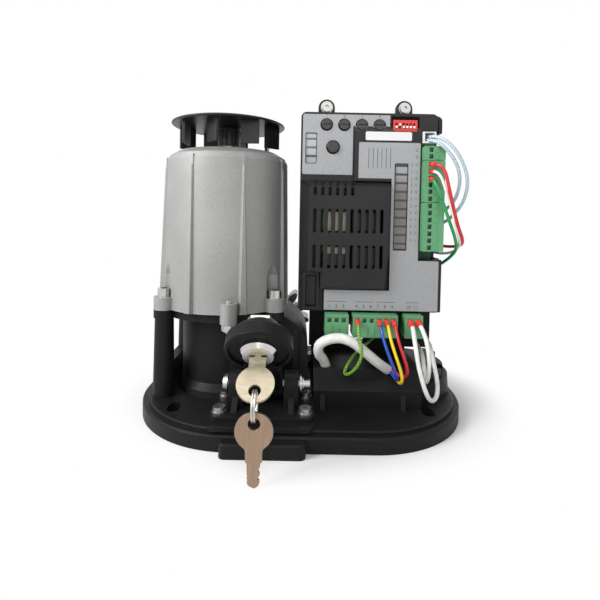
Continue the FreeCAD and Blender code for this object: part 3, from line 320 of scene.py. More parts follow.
def flat_piece(name, outline, y, holes=(), rounds=(), thick=FILM_THICK, material=None, body="base"):
    """A piece facing the front: outlines and holes are lists of (x, z), rounds are (x, z, r)."""
    curve = bpy.data.curves.new(name, "CURVE")
    curve.dimensions = "2D"
    curve.fill_mode = "BOTH"
    curve.extrude = thick * MM / 2
    loops = [outline, *holes]
    turns = [2 * math.pi * k / ROUND_STEPS for k in range(ROUND_STEPS)]
    for x, z, r in rounds:
        loops.append([(x + r * math.cos(a), z + r * math.sin(a)) for a in turns])
    for loop in loops:
        spline = curve.splines.new("POLY")
        spline.points.add(len(loop) - 1)
        spline.use_cyclic_u = True
        for point, (x, z) in zip(spline.points, loop):
            point.co = (x * MM, z * MM, 0, 1)
    holder = bpy.data.objects.new(name + "_outline", curve)
    scene.collection.objects.link(holder)
    mesh = bpy.data.meshes.new_from_object(holder.evaluated_get(bpy.context.evaluated_depsgraph_get()))
    bpy.data.objects.remove(holder)
    mesh.transform(Matrix.Translation((0, y * MM, 0)) @ Matrix.Rotation(math.pi / 2, 4, "X"))
    piece = bpy.data.objects.new(name, mesh)
    scene.collection.objects.link(piece)
    mesh.materials.clear()
    mesh.materials.append((material or film).material)
    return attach(piece, body)


def oblong(x0, x1, z0, z1, r=0.8, steps=4):
    """A rectangle with rounded corners, as a list of (x, z)."""
    corners = ((x1 - r, z1 - r, 0), (x0 + r, z1 - r, 1), (x0 + r, z0 + r, 2), (x1 - r, z0 + r, 3))
    points = []
    for cx, cz, quarter in corners:
        for t in range(steps + 1):
            a = (quarter + t / steps) * math.pi / 2
            points.append((cx + r * math.cos(a), cz + r * math.sin(a)))
    return points


def slab(name, outline, y0, y1, material, holes=(), rounds=(), bevel=0.25, body="base"):
    """A plate from y0 (front) back to y1, with softened edges."""
    piece = flat_piece(name, outline, (y0 + y1) / 2, holes, rounds, y1 - y0, material, body)
    weld = piece.modifiers.new("weld", "WELD")
    weld.merge_threshold = 0.00001
    soft = piece.modifiers.new("soft", "BEVEL")
    soft.width, soft.segments, soft.angle_limit = bevel * MM, 2, math.radians(40)
    return piece


print("points round an oblong:", len(oblong(0, 4, 0, 2)))

# %% [markdown]
# Two films lie on the cover's two levels, cut round the knobs, the button and the windows, so
# the black moulding shows in the cut-outs. Each lies a hair in front of its face, because
# faces in one plane would flicker.
# %% Labels
FRONT, RAISED = -34.0, -37.0
ON_FACE, SEAT = 0.07, 0.02
KNOBS = [(14.8 + 12.7 * n, 209.6) for n in range(4)]
KNOB_HOLE, BUTTON_HOLE = 4.6, (19.7, 193.5, 5.1)
setting_outline = [(-2.2, 174.6), (-1.2, 173.8), (34.0, 173.8), (34.0, 208.9), (60.4, 208.9), (60.4, 217.0),
                   (-1.3, 217.0), (-2.2, 216.0)]
flat_piece("setting_label", setting_outline, FRONT - ON_FACE, [oblong(-0.2, 8.1, 181.5, 203.7)],
           [(x, z, KNOB_HOLE) for x, z in KNOBS] + [BUTTON_HOLE])
# the film's lower field stands level with the raised one, on a black step of the moulding
step = [(14.6, 75.8), (99.4, 75.8), (99.4, 113.4), (62.0, 113.4), (62.0, 91.2), (14.6, 91.2)]
slab("lower_step", step, RAISED, FRONT - SEAT, box_black, bevel=0.8)
main_outline = [(38.0, 171.4), (61.9, 171.4), (61.9, 90.9), (15.2, 90.9), (15.2, 76.4), (96.4, 76.4),
                (97.0, 77.0), (97.0, 112.2), (96.4, 112.8), (82.0, 112.8), (82.0, 196.4), (81.4, 197.0),
                (38.6, 197.0), (38.0, 196.4)]
flat_piece("main_label", main_outline, RAISED - ON_FACE, [oblong(63.8, 73.6, 120.0, 182.4)])
# a blank white sticker on the band above the film, and painted shadow in the pocket round the switches
flat_piece("blank_sticker", oblong(42.6, 75.6, 198.5, 204.6, 1.0), RAISED - ON_FACE,
           material=plastic("white_paper", (0.8, 0.8, 0.79), 0.5, 1500.0, 0.05, 0.05))
pocket = plastic("pocket_shadow", (0.002, 0.002, 0.002), 0.8, Specular_IOR_Level=0.1)
low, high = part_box("dip_body")
dip = [low[0] / MM, high[0] / MM, low[2] / MM, high[2] / MM]
# a nearly black film here is painted shade round the switches
flat_piece("switch_pocket_shadow", oblong(61.4, 81.5, 205.9, 216.4, 0.5), FRONT - 0.05,
           [oblong(dip[0] - 0.1, dip[1] + 0.1, dip[2] - 0.1, dip[3] + 0.1, 0.2)], thick=0.08, material=pocket)
print("label corners:", len(setting_outline), len(main_outline))

# %% [markdown]
# Rounder or tapered forms are built straight in a bmesh: a profile turned on a lathe, or a
# block between a lower and an upper ring of corners. A bevel then breaks the sharp edges.
# %% Built meshes
def mesh_piece(name, bm, material, body, bevel):
    mesh = bpy.data.meshes.new(name)
    bmesh.ops.recalc_face_normals(bm, faces=bm.faces)
    bm.to_mesh(mesh)
    bm.free()
    mesh.materials.append(material.material)
    piece = bpy.data.objects.new(name, mesh)
    scene.collection.objects.link(piece)
    soft = piece.modifiers.new("soft", "BEVEL")
    soft.width, soft.segments, soft.angle_limit = bevel * MM, 2, math.radians(40)
    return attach(piece, body)


def block_between(bm, low_ring, high_ring):
    """A solid with the same number of corners below and above, given in millimetres."""
    low = [bm.verts.new(Vector(p) * MM) for p in low_ring]
    high = [bm.verts.new(Vector(p) * MM) for p in high_ring]
    bm.faces.new(low[::-1])
    bm.faces.new(high)
    for k in range(len(low)):
        j = (k + 1) % len(low)
        bm.faces.new((low[k], low[j], high[j], high[k]))


def lathe(bm, profile, centre, steps=72):
    """Turn (radius, z) points round a vertical axis; flat faces close both ends."""
    turns = [2 * math.pi * k / steps for k in range(steps)]
    rings = []
    for r, z in profile:
        ring = [(centre[0] + r * math.cos(a), centre[1] + r * math.sin(a), z) for a in turns]
        rings.append([bm.verts.new(Vector(p) * MM) for p in ring])
    for near, far in zip(rings, rings[1:]):
        for k in range(steps):
            j = (k + 1) % steps
            bm.faces.new((near[k], near[j], far[j], far[k]))
    bm.faces.new(rings[0][::-1])
    bm.faces.new(rings[-1])


def heading(degrees):
    a = math.radians(degrees)
    return Vector((math.cos(a), math.sin(a), 0))


print("a heading of 90 degrees:", [round(c, 3) for c in heading(90)])

# %% [markdown]
# The fan is a thin dished disc with a hub. Eight blades near its rim stand oblique to the
# radius, so daylight shows between them.
# %% Fan
BLADES, SWEEP = 8, 52
HALF_LONG, HALF_THICK, INSET = 6.6, 1.1, 9.0
fan_black = plastic("fan_moulding", (0.009, 0.009, 0.010), 0.36, Specular_IOR_Level=0.4)
low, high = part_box("cooling_fan")
fan_x, fan_y = (low[0] + high[0]) / MM / 2, (low[1] + high[1]) / MM / 2
fan_low, fan_top, fan_r = low[2] / MM, high[2] / MM, (high[0] - low[0]) / MM / 2
bm = bmesh.new()
lathe(bm, [(8.6, fan_low + 2.0), (8.6, fan_top - 4.0), (12.0, fan_top - 2.6), (fan_r - 1.0, fan_top - 2.2),
           (fan_r, fan_top - 1.6), (fan_r, fan_top - 0.9), (fan_r - 1.0, fan_top - 0.4), (20.0, fan_top)],
      (fan_x, fan_y))
for n in range(BLADES):
    angle = -100 + 45 * n
    along = heading(angle + SWEEP)
    side = Vector((-along.y, along.x, 0))
    middle = Vector((fan_x, fan_y, 0)) + heading(angle) * (fan_r - INSET)
    corners = [middle + along * HALF_LONG * a + side * HALF_THICK * b
               for a, b in ((-1, -1), (1, -1), (1, 1), (-1, 1))]
    block_between(bm, [p + Vector((0, 0, fan_low)) for p in corners],
                  [p + Vector((0, 0, fan_top - 1.8)) for p in corners])
fan = mesh_piece("fan_with_blades", bm, fan_black, "motor", 0.25)
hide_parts("cooling_fan")
print("blades:", BLADES, "rim radius mm:", round(fan_r, 1))

# %% [markdown]
# The motor housing's cast ribs are wide and proud at the foot and fade upward, so each is a
# block between a wide low ring and a narrow high one, sunk a millimetre into the skin.
# %% Housing ribs
RIBS = 8
CAN = Vector((-60.0, -6.0, 0))
SUNK = 1.0


def rib_ring(angle, z, skin, proud, half_root, half_crest):
    out = heading(angle)
    side = Vector((-out.y, out.x, 0))
    root, crest = CAN + out * (skin - SUNK), CAN + out * (skin + proud)
    corners = (root + side * half_root, crest + side * half_crest, crest - side * half_crest,
               root - side * half_root)
    return [p + Vector((0, 0, z)) for p in corners]


bm = bmesh.new()
for n in range(RIBS):
    angle = 22.5 + 45 * n
    block_between(bm, rib_ring(angle, 75.2, 48.5, 2.6, 3.9, 2.3), rib_ring(angle, 178.0, 46.3, 1.2, 1.4, 0.5))
mesh_piece("housing_ribs", bm, alu, "base", 0.35)
print("ribs:", RIBS)

# %% [markdown]
# The vent cover is a shallow moulded hood. Its slotted face is one plate; four sloping walls
# run out to the foot, and the first row of slots carries on through the upper wall. Its lower
# left corner gives way to a framed snap window.
# %% Sloping walls
WALL = 1.4


def wall(name, near, far):
    """A sloping wall between two lines of (x, y, z) points, thickened evenly to both sides."""
    mesh = bpy.data.meshes.new(name)
    mesh.from_pydata([Vector(p) * MM for p in [*near, *far]], [],
                     [(k, k + 1, k + 1 + len(near), k + len(near)) for k in range(len(near) - 1)])
    mesh.materials.append(box_black.material)
    piece = bpy.data.objects.new(name, mesh)
    scene.collection.objects.link(piece)
    shell = piece.modifiers.new("shell", "SOLIDIFY")
    shell.thickness, shell.offset = WALL * MM, 0.0
    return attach(piece, "base")


print("wall mm:", WALL)

# %% [markdown]
# The face comes first, then the walls from its edge out to the foot. The upper wall is made in
# pieces that leave the first row's slots open.
# %% Vent hood
low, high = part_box("vent_cover")
vent_front, vent_back = low[1] / MM, high[1] / MM - 0.9
SLOT_X = [7.3 + 5.25 * n for n in range(10)]
SLOT_HALF, HOOD = 1.2, 1.8
SLOT_ROWS = ((6, 158.4, 164.6), (10, 132.0, 149.0), (10, 106.9, 123.5))
slots = [oblong(x - SLOT_HALF, x + SLOT_HALF, z0, z1, 1.1, 4)
         for count, z0, z1 in SLOT_ROWS for x in SLOT_X[:count]]
face = [(12.9, 93.4), (56.4, 93.4), (57.6, 94.6), (59.6, 121.0), (59.6, 164.2), (58.6, 165.4), (3.8, 165.4),
        (2.8, 164.4), (2.8, 104.8), (12.9, 104.8)]
hood = slab("vent_face", face, vent_front, vent_front + HOOD, box_black, slots, bevel=0.45)
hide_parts("vent_cover")
middle = vent_front + HOOD / 2
near = [(12.2, middle, 93.0), (57.0, middle, 93.0), (60.0, middle, 121.0), (60.0, middle, 165.0)]
far = [(12.2, vent_back, 92.4), (58.6, vent_back, 92.4), (61.0, vent_back, 121.0), (61.0, vent_back, 168.8)]
wall("vent_wall_right", near, far)
near = [(3.2, middle, 164.9), (3.2, middle, 104.4), (12.6, middle, 104.4), (12.6, middle, 93.0)]
far = [(-2.6, vent_back, 168.8), (-2.6, vent_back, 104.0), (12.2, vent_back, 104.0), (12.2, vent_back, 92.4)]
wall("vent_wall_left", near, far)
edges = [3.2] + [x + d for x in SLOT_X[:6] for d in (-SLOT_HALF, SLOT_HALF)] + [60.0]
for n in range(0, len(edges), 2):
    a, b = edges[n], edges[n + 1]
    a_far, b_far = (-2.6 if n == 0 else a), (61.0 if n == len(edges) - 2 else b)
    wall("vent_top_%d" % n, [(a, middle, 165.0), (b, middle, 165.0)],
         [(a_far, vent_back, 168.8), (b_far, vent_back, 168.8)])
frame_out, frame_in = oblong(-0.4, 11.2, 77.0, 103.4, 0.8), oblong(1.6, 9.6, 78.6, 101.6, 0.5)
slab("snap_window_frame", frame_out, RAISED - 1.2, FRONT - SEAT, box_black, [frame_in], bevel=0.3)
latch = oblong(2.4, 8.8, 79.6, 100.6, 0.5)
slab("snap_window_latch", latch, FRONT - 1.2, FRONT - SEAT, box_black, bevel=0.3)
print("vent slots:", len(slots), "pieces of the upper wall:", len(edges) // 2)

# %% [markdown]
# The spare key is cut from sheet: a round bow, a stepped shoulder and a blade with cuts on
# both sides. It hangs where the frame's plain key hangs.
# %% Spare key
BOW_HOLE, BOW_HOLE_UP = 3.3, 4.0
NECK = (4.9, -9.3)
key_brass = metal("brushed_key", (0.40, 0.285, 0.20), 0.42, 220.0, 0.12, (5.0, 1.0, 0.3))
low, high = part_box("spare_key")
bow_r = (high[0] - low[0]) / MM / 2
key_x, key_z = low[0] / MM + bow_r, high[2] / MM - bow_r
blade = [NECK, (4.55, -11.0), (4.5, -16.0), (3.6, -16.6), (3.45, -18.6), (2.9, -19.5), (2.45, -20.5),
         (3.1, -21.6), (3.4, -22.6), (3.1, -23.5), (2.1, -24.3), (2.3, -25.1), (3.2, -25.9), (3.3, -27.2),
         (2.8, -28.3), (1.6, -29.4), (0.6, -29.9), (-0.9, -29.4), (-2.5, -28.5), (-3.2, -27.4),
         (-3.3, -26.5), (-2.7, -25.8), (-3.3, -25.0), (-3.4, -24.2), (-2.9, -23.5), (-3.4, -22.6),
         (-3.5, -16.8), (-4.4, -16.2), (-4.5, -11.0), (-NECK[0], NECK[1])]
# the bow runs clockwise from the neck's left corner round to its right one
start, end = math.atan2(NECK[1], -NECK[0]) % (2 * math.pi), -1.0855
arc = [start + (end - start) * n / 40 for n in range(1, 40)]
outline = [(key_x + x, key_z + z) for x, z in blade]
outline += [(key_x + bow_r * math.cos(a), key_z + bow_r * math.sin(a)) for a in arc]
spare = slab("spare_key_cut", outline, low[1] / MM, high[1] / MM, key_brass, (),
             [(key_x, key_z + BOW_HOLE_UP, BOW_HOLE)], bevel=0.2, body="spare")
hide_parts("spare_key")
print("spare key corners:", len(outline), "bow radius mm:", round(bow_r, 1))

# %% [markdown]
# The pluggable terminals: each way has a square wire window with a metal clamp inside and a
# low raised field beside it. A block is a plate with the windows cut through it and a plain
# body behind, so the windows are as deep as they look.
# %% Terminal blocks
terminal_green = plastic("terminal_polyamide", (0.10, 0.30, 0.14), 0.4, 900.0, 0.1, 0.25)
clamp = metal("clamp_plate", (0.12, 0.12, 0.115), 0.45, 500.0)
# how deep the face, the clamps and the plain body start, and how thick the raised fields are
FACE_AT, CLAMP_AT, BODY_AT, LIP = 0.35, 2.6, 4.0, 0.4


def terminals(node, blocks):
    """Blocks are (x0, x1, z0, z1, windows, lips); a window is (x, z), a lip an oblong."""
    low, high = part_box(node)
    front, back = low[1] / MM, high[1] / MM
    for n, (x0, x1, z0, z1, windows, lips) in enumerate(blocks):
        holes = [oblong(x - 1.5, x + 1.5, z - 1.6, z + 1.6, 0.15, 1) for x, z in windows]
        outline = oblong(x0, x1, z0, z1, 0.4)
        slab("%s_face_%d" % (node, n), outline, front + FACE_AT, front + BODY_AT,
                          terminal_green, holes, bevel=0.12)
        slab("%s_rear_%d" % (node, n), outline, front + BODY_AT, back, terminal_green,
                          bevel=0.3)
        for k, (x, z) in enumerate(windows):
            flat_piece("%s_clamp_%d_%d" % (node, n, k), oblong(x - 1.3, x + 1.3, z + 0.1, z + 1.5, 0.1, 1),
                       front + CLAMP_AT, thick=0.6, material=clamp)
        for k, lip in enumerate(lips):
            flat_piece("%s_lip_%d_%d" % (node, n, k), lip, front + LIP / 2, thick=LIP,
                       material=terminal_green)
    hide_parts(node)
    print(node, "blocks:", len(blocks), "ways:", sum(len(b[4]) for b in blocks))


power_x = [[19.1, 24.1, 29.2], [38.8, 43.9, 49.0, 54.1, 59.2, 64.3], [76.3, 81.6]]
power_span = [(16.2, 32.8), (35.8, 67.6), (72.6, 85.4)]
power_blocks = []
for (x0, x1), ways in zip(power_span, power_x):
    lips = [oblong(x - 2.1, x + 2.1, 59.0, 67.2, 0.2, 1) for x in ways]
    lips.append(oblong(x0 + 0.3, x1 - 0.3, 72.6, 74.2, 0.2, 1))
    power_blocks.append((x0, x1, 58.2, 74.4, [(x, 70.3) for x in ways], lips))
terminals("power_terminals", power_blocks)
SIGNAL_Z = [191.6, 186.9, 181.4, 176.6, 171.7, 167.0, 162.2, 157.3, 152.2, 147.3, 142.4, 137.6, 132.7, 127.8,
            122.9]
terminals("signal_terminals", [
    (83.2, 98.0, z0, z1, [(88.0, z) for z in SIGNAL_Z[a:b]],
     [oblong(90.2, 93.4, z - 1.7, z + 1.7, 0.2, 1) for z in SIGNAL_Z[a:b]])
    for z0, z1, a, b in ((184.3, 194.2, 0, 2), (154.8, 184.0, 2, 8), (120.2, 154.5, 8, 15))])

# %% [markdown]
# Plain numbers count the terminals and the settings, with small dots round each knob. They
# are raised ink, a twentieth of a millimetre thick, so they lie on the film like print. Text
# becomes a mesh first, because all the marks are joined into one piece.
# %% Ink
ink = plastic("black_ink", (0.02, 0.02, 0.022), 0.5, 900.0, 0.05)
HALF_INK = 0.025


def number(text, x, z, y, size, turn=0.0):
    curve = bpy.data.curves.new("ink_" + text, "FONT")
    curve.body, curve.size, curve.extrude = text, size * MM, HALF_INK * MM
    curve.align_x, curve.align_y = "CENTER", "CENTER"
    holder = bpy.data.objects.new("holder", curve)
    scene.collection.objects.link(holder)
    mesh = bpy.data.meshes.new_from_object(holder.evaluated_get(bpy.context.evaluated_depsgraph_get()))
    bpy.data.objects.remove(holder)
    place = Matrix.Translation(Vector((x, y, z)) * MM) @ Matrix.Rotation(math.pi / 2, 4, "X")
    mesh.transform(place @ Matrix.Rotation(math.radians(turn), 4, "Z"))
    return mesh


def bar(x0, x1, z0, z1, y):
    mesh = bpy.data.meshes.new("bar")
    corners = [(x * MM, (y + d) * MM, z * MM)
               for d in (-HALF_INK, HALF_INK) for z in (z0, z1) for x in (x0, x1)]
    faces = [(0, 1, 3, 2), (4, 6, 7, 5), (0, 4, 5, 1), (2, 3, 7, 6), (0, 2, 6, 4), (1, 5, 7, 3)]
    mesh.from_pydata(corners, [], faces)
    return mesh


def joined(name, meshes, material):
    bm = bmesh.new()
    for mesh in meshes:
        bm.from_mesh(mesh)
    whole = bpy.data.meshes.new(name)
    bm.to_mesh(whole)
    bm.free()
    whole.materials.clear()
    whole.materials.append(material.material)
    piece = bpy.data.objects.new(name, whole)
    scene.collection.objects.link(piece)
    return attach(piece, "base")


print("ink mm:", 2 * HALF_INK)

# %% [markdown]
# The terminals are numbered on the film beside them: upright along the bottom and sideways up
# the right edge. Thin lines group the ways, and a few more stand where the film has its text.
# %% Printed marks
ON_FILM = 0.14
DOT_RADIUS, HALF_DOT = 5.1, 0.16
WAY_X = (19.1, 24.2, 29.3, 38.7, 43.9, 49.0, 54.0, 59.2, 64.3, 76.2, 81.6)
GROUPS = ((17.4, 31.0), (37.0, 50.6), (52.6, 66.0), (74.4, 83.4))
print_y, top_y = RAISED - ON_FILM, FRONT - ON_FILM
marks = [number(str(14 - n), 79.6, z, print_y, 2.3, 90) for n, z in enumerate(SIGNAL_Z[:14])]
marks += [bar(76.0, 76.3, z - 1.4, z + 1.2, print_y) for z in SIGNAL_Z[2:14]]
marks += [number(str(n + 1), x, 79.2, print_y, 3.2) for n, x in enumerate(WAY_X)]
marks += [bar(x0, x1, 82.4, 82.7, print_y) for x0, x1 in GROUPS]
for n, (x, z) in enumerate(KNOBS):
    marks.append(number(str(n + 1), x, z + 6.2, top_y, 2.2))
    for a in (-50, -25, 0, 25, 50):
        t = math.radians(90 + a)
        cx, cz = x + DOT_RADIUS * math.cos(t), z + DOT_RADIUS * math.sin(t)
        marks.append(bar(cx - HALF_DOT, cx + HALF_DOT, cz - HALF_DOT, cz + HALF_DOT, top_y))
marks += [bar(45.0 + 3.1 * n, 45.35 + 3.1 * n, 178.5, 193.0, print_y) for n in range(6)]
joined("printed_marks", marks, ink)
print("marks:", len(marks))


# %% [markdown]
# Wire insulation is soft plastic with a slight sheen. A faint mottling in its colour and gloss
# keeps it from looking like a plain tube. The earth wire and the sensor pair are woven.
# %% Insulation
def insulation(name, color, roughness=0.35):
    f = Finish(name, color, roughness, 0.0, Coat_Weight=0.15)
    mark = f.ramp(f.noise(120.0, 2.0), 0.35, 0.7)
    f.set("Base Color", f.mix(mark, color, tuple(min(1.0, c * 1.15 + 0.01) for c in color)))
    f.set("Roughness", f.noise(240.0, 2.0) * 0.2 + roughness - 0.1)
    f.bump(f.noise(500.0, 2.0), 0.08, 0.0003)
    return f


red = insulation("red_insulation", (0.55, 0.01, 0.012))
white = insulation("white_insulation", (0.76, 0.76, 0.74))
blue = insulation("blue_insulation", (0.01, 0.06, 0.42))
yellow = insulation("yellow_insulation", (0.8, 0.55, 0.01))
green = insulation("green_insulation", (0.01, 0.26, 0.07))
sleeve_white = insulation("cable_sheath", (0.72, 0.72, 0.69), 0.4)


def braid(name, color, second, pitch):
    """A woven sleeve: two crossing sets of threads, seen as a fine lattice."""
    f = insulation(name, color, 0.45)
    x, y, z = f.split()
    lattice = ((x + z) * pitch).math("SINE") * ((x - z) * pitch).math("SINE")
    f.set("Base Color", f.mix(f.ramp(lattice, 0.05, 0.4), color, second))
    f.bump(lattice, 0.4, 0.0004)
    return f


earth = braid("earth_insulation", (0.22, 0.42, 0.02), (0.03, 0.22, 0.05), 1900.0)
clear_blue = braid("pair_sleeve", (0.62, 0.68, 0.72), (0.28, 0.50, 0.64), 2400.0)
ferrule_red = insulation("ferrule_red", (0.75, 0.03, 0.025))
skins = (red, white, blue, yellow, green, sleeve_white, earth, clear_blue, ferrule_red)
print("insulations:", len(skins))

# %% [markdown]
# A wire is a fixed length of something springy, so it bends in one smooth line. A NURBS curve
# of order 3 is pulled towards its points without passing through them, which rounds each
# corner. Its length is worked out from the same curve, because `cord` asks for it.
# %% Smooth lines
ORDER = 3


def spline_of(name, points, radius, material):
    """A smooth open line with a round section, led by points in millimetres."""
    curve = bpy.data.curves.new(name, "CURVE")
    curve.dimensions = "3D"
    curve.resolution_u = 10
    curve.bevel_depth = radius * MM
    curve.bevel_resolution = 5
    curve.use_fill_caps = True
    spline = curve.splines.new("NURBS")
    spline.points.add(len(points) - 1)
    for point, place in zip(spline.points, points):
        point.co = (*[c * MM for c in place], 1)
    spline.use_endpoint_u = True
    spline.order_u = ORDER
    piece = bpy.data.objects.new(name, curve)
    scene.collection.objects.link(piece)
    curve.materials.append(material.material)
    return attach(piece, "base")


def route_length(points, steps=60):
    """The length of an open uniform B-spline with its ends on its first and last points."""
    spans = len(points) - ORDER + 1
    knots = [0.0] * ORDER + [float(k) for k in range(1, spans)] + [float(spans)] * ORDER

    def at(t):
        k = min(int(t), spans - 1) + ORDER - 1
        row = [Vector(points[j]) for j in range(k - ORDER + 1, k + 1)]
        for r in range(1, ORDER):
            for j in range(ORDER - 1, r - 1, -1):
                a, b = knots[j + k - ORDER + 1], knots[j + 1 + k - r]
                row[j] = row[j - 1].lerp(row[j], (t - a) / (b - a))
        return row[-1]

    line = [at(spans * n / (steps * spans)) for n in range(steps * spans + 1)]
    return sum((b - a).length for a, b in zip(line, line[1:]))


print("a straight line of 30 mm:", round(route_length([(0, 0, 0), (0, 10, 0), (0, 20, 0), (0, 30, 0)]), 2))

# %% [markdown]
# Each wire leaves its terminal square, sags forward and goes back in. Its points are chosen
# along what the photograph shows, from the terminal to where the wire goes out of sight.
# %% Routes
WIRES = {
    "earth_wire": (earth, 1.1, [
        (38.9, -39.5, 70.4), (38.8, -47.5, 70.4), (38.9, -53.0, 60.5), (41.2, -55.5, 51.5),
        (38.6, -54.0, 42.0), (33.2, -50.5, 34.8), (29.6, -46.0, 33.0), (32.5, -41.5, 38.5),
        (40.0, -34.0, 46.0), (52.0, -22.0, 50.0), (58.0, -8.0, 50.0), (58.0, 2.0, 50.0)]),
    "blue_wire": (blue, 1.05, [
        (54.1, -39.5, 70.4), (54.1, -47.5, 70.4), (55.4, -53.5, 60.0), (58.9, -57.0, 49.5),
        (63.5, -58.5, 38.5), (65.6, -55.0, 32.0), (63.2, -47.5, 34.2), (61.5, -41.0, 36.0)]),
    "yellow_wire": (yellow, 1.05, [
        (59.2, -39.5, 70.4), (59.2, -48.5, 70.4), (59.8, -55.5, 61.0), (62.8, -59.5, 51.0),
        (67.2, -61.5, 38.0), (67.2, -57.5, 30.5), (64.0, -48.0, 33.4), (62.5, -41.0, 36.0)]),
    "red_wire": (red, 1.05, [
        (64.3, -39.5, 70.4), (64.3, -47.5, 70.4), (65.0, -54.5, 60.5), (67.8, -57.5, 52.0),
        (71.6, -58.5, 40.5), (70.2, -54.5, 34.0), (65.4, -48.0, 35.4), (63.5, -41.0, 36.5)]),
    "sleeved_cable": (sleeve_white, 3.5, [
        (18.0, -34.0, 34.0), (16.0, -38.0, 40.5), (11.0, -44.0, 47.0), (12.0, -48.0, 56.0),
        (24.7, -50.0, 60.6), (35.4, -50.0, 57.2), (46.2, -49.0, 48.0), (55.5, -46.5, 40.0),
        (61.0, -42.5, 35.8)]),
    "capacitor_wire_left": (white, 1.5, [
        (76.3, -39.5, 70.2), (76.3, -48.0, 70.2), (76.2, -56.5, 59.0), (77.8, -60.0, 45.0),
        (82.0, -60.5, 29.5), (87.5, -57.5, 19.0), (94.0, -51.5, 20.5), (95.4, -46.5, 30.0),
        (94.0, -41.0, 41.0), (94.5, -31.0, 50.5), (96.0, -16.0, 50.5), (97.0, 2.0, 49.5)]),
    "capacitor_wire_right": (white, 1.5, [
        (81.6, -39.5, 70.2), (81.6, -47.0, 70.2), (84.9, -54.0, 60.5), (86.4, -56.5, 46.0),
        (86.3, -54.0, 33.5), (86.8, -46.0, 27.5), (89.0, -37.0, 33.0), (90.5, -26.0, 42.0),
        (91.0, -12.0, 44.0), (91.0, 2.0, 44.0)]),
    "limit_wire_red": (red, 1.15, [
        (88.2, -40.0, 181.4), (88.2, -47.5, 181.4), (94.0, -53.5, 178.0), (96.6, -55.5, 164.0),
        (100.4, -54.0, 151.0), (105.6, -50.0, 137.5), (111.8, -43.5, 128.5), (113.5, -35.0, 124.0),
        (107.0, -23.0, 122.5), (103.0, -11.0, 123.5), (102.0, 2.0, 124.0)]),
    "limit_wire_white": (white, 1.0, [
        (88.2, -40.0, 176.6), (88.2, -46.0, 176.6), (92.0, -51.0, 174.0), (95.9, -52.5, 162.0),
        (101.0, -51.0, 148.0), (106.2, -47.0, 134.5), (111.2, -40.5, 126.0), (110.5, -31.5, 119.5),
        (105.4, -21.0, 117.0), (102.4, -10.0, 117.0), (102.0, 2.0, 117.0)]),
    "limit_wire_green": (green, 1.15, [
        (88.2, -40.0, 171.7), (88.2, -46.0, 171.7), (91.0, -50.0, 164.0), (94.8, -49.5, 154.5),
        (99.8, -48.5, 142.0), (105.6, -45.0, 130.0), (109.8, -37.5, 121.5), (107.8, -28.0, 114.5),
        (104.4, -18.0, 108.5), (102.0, -8.0, 106.5), (102.0, 2.0, 106.0)]),
    "sensor_wire_outer": (clear_blue, 1.2, [
        (88.0, -32.0, 202.0), (88.4, -41.0, 201.5), (95.0, -48.0, 198.5), (103.4, -49.5, 190.0),
        (109.9, -48.0, 178.7), (113.4, -45.5, 168.0), (112.6, -40.0, 155.5), (109.0, -32.5, 147.0),
        (106.0, -23.5, 141.0), (102.0, -13.0, 139.0), (102.0, 2.0, 138.0)]),
    "sensor_wire_inner": (clear_blue, 1.2, [
        (86.0, -32.0, 199.6), (87.4, -41.5, 199.0), (93.0, -46.5, 195.6), (99.9, -47.0, 188.5),
        (105.5, -46.0, 180.5), (108.9, -43.0, 170.0), (108.3, -37.0, 158.0), (105.4, -28.0, 151.0),
        (103.0, -19.0, 148.0), (102.0, -11.0, 147.0), (102.0, 2.0, 146.0)]),
}
print("routes:", len(WIRES))

# %% [markdown]
# The wires stand for the frame's plain tubes. A red ferrule is pressed on each bare end, and it
# follows the first bend of its wire.
# %% Wires and ferrules
CRIMPED = ("earth_wire", "blue_wire", "yellow_wire", "red_wire", "capacitor_wire_left",
           "capacitor_wire_right", "limit_wire_red", "limit_wire_white", "limit_wire_green")
FERRULE_REACH, FERRULE_WALL = 0.66, 0.5
for name, (skin, radius, route) in WIRES.items():
    length = round(route_length(route), 1)
    print(name, "length mm:", length)
    piece = spline_of(name + "_flex", route, radius, skin)
    if name in CRIMPED:
        # the ferrule is the start of the same quadratic arc
        a, b, c = (Vector(p) for p in route[:3])
        half = a.lerp(b, FERRULE_REACH)
        tip = half.lerp(b.lerp((b + c) / 2, FERRULE_REACH), FERRULE_REACH)
        spline_of(name + "_ferrule", [a, half, tip], radius + FERRULE_WALL, ferrule_red)
    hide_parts(name)
    [c * MM for c in route[0]]
    2 * radius * MM
print("wires:", len(WIRES))

# %% [markdown]
# The motor stands on a pale matt floor.
# %% Floor
floor_mesh = bpy.data.meshes.new("floor")
floor_mesh.from_pydata([(-6, -3, 0), (6, -3, 0), (6, 9, 0), (-6, 9, 0)], [], [(0, 1, 2, 3)])
floor = bpy.data.objects.new("floor", floor_mesh)
scene.collection.objects.link(floor)
paper = Finish("pale_floor", (0.93, 0.93, 0.93), 0.9)
floor_mesh.materials.append(paper.material)
print("floor m:", [round(c, 1) for c in floor.dimensions])


# %% [markdown]
# The photograph's backdrop is plain white. The floor keeps its shadow close to the motor and
# fades to white further out, and the world is white too, but only where it is seen: straight
# from the camera or in a glossy or clear surface. So the backdrop throws little light of its
# own at the motor, and the lamps shape it.
# %% White backdrop
def seen_rays(tree):
    """1 for rays that see the backdrop: from the camera, by a glossy or by a clear surface."""
    rays = tree.nodes.new("ShaderNodeLightPath")
    seen = Wire(tree, rays.outputs["Is Camera Ray"]) + Wire(tree, rays.outputs["Is Glossy Ray"])
    seen = seen + Wire(tree, rays.outputs["Is Transmission Ray"])
    seen.socket.node.use_clamp = True
    return seen


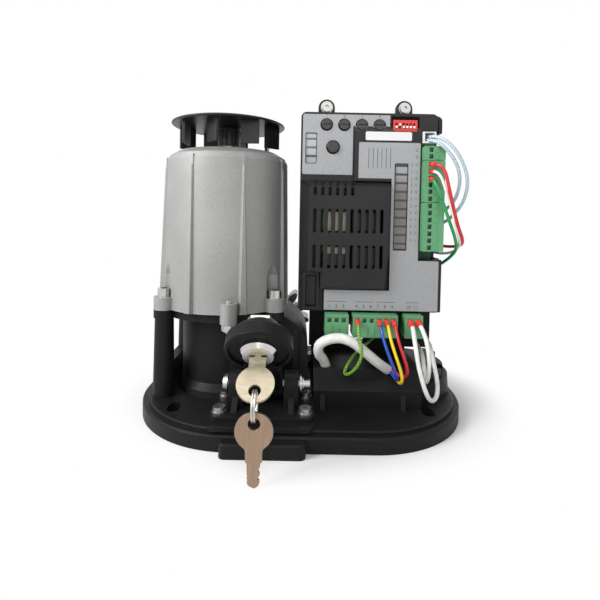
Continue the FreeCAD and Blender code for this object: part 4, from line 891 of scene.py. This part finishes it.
def whiten(tree, factor, plain, white):
    """The backdrop is plain white where the factor is 1."""
    blend = tree.nodes.new("ShaderNodeMixShader")
    feed(tree, blend.inputs[0], factor)
    tree.links.new(plain, blend.inputs[1])
    tree.links.new(white, blend.inputs[2])
    out = next(n for n in tree.nodes if n.bl_idname.startswith("ShaderNodeOutput"))
    tree.links.new(blend.outputs[0], out.inputs["Surface"])


# the fade runs from an oval of 118 by 88 mm, in half-widths, to one of 171 by 127 mm
x, y, z = paper.split()
away = (x * x * 0.72 + y * y * 1.3).math("SQRT")
far_floor = paper.ramp(away, 0.1, 0.145)
glow = paper.tree.nodes.new("ShaderNodeEmission")
glow.inputs["Color"].default_value = (1, 1, 1, 1)
glow.inputs["Strength"].default_value = 1.0
whiten(paper.tree, far_floor * seen_rays(paper.tree), paper.shader.outputs[0], glow.outputs[0])

world = bpy.data.worlds.new("studio")
scene.world = world
world.use_nodes = True
tree = world.node_tree
background = tree.nodes["Background"]
background.inputs["Color"].default_value = (1, 1, 1, 1)
background.inputs["Strength"].default_value = 0.2
white_sky = tree.nodes.new("ShaderNodeBackground")
white_sky.inputs["Color"].default_value = (1, 1, 1, 1)
white_sky.inputs["Strength"].default_value = 1.0
whiten(tree, seen_rays(tree), background.outputs[0], white_sky.outputs[0])
print("world strength, unseen and seen:", round(background.inputs["Strength"].default_value, 2), 1.0)


# %% [markdown]
# Three soft lamps light it: a strong one from the left, which gives the housing its bright and
# dark sides, a weak one in front for the box and the keys, and one above for the top faces.
# %% Lamps
def lamp(name, place, aim, size, power):
    data = bpy.data.lights.new(name, "AREA")
    data.energy, data.size = power, size
    holder = bpy.data.objects.new(name, data)
    scene.collection.objects.link(holder)
    holder.location = place
    holder.rotation_euler = (Vector(aim) - Vector(place)).to_track_quat("-Z", "Y").to_euler()


lamp("key_softbox", (-0.95, -0.55, 0.75), (0, 0, 0.12), 0.6, 16)
lamp("front_softbox", (0.15, -1.2, 0.75), (0, 0, 0.12), 0.8, 4)
lamp("top_softbox", (0.0, 0.1, 1.3), (0, 0, 0.1), 0.9, 5)
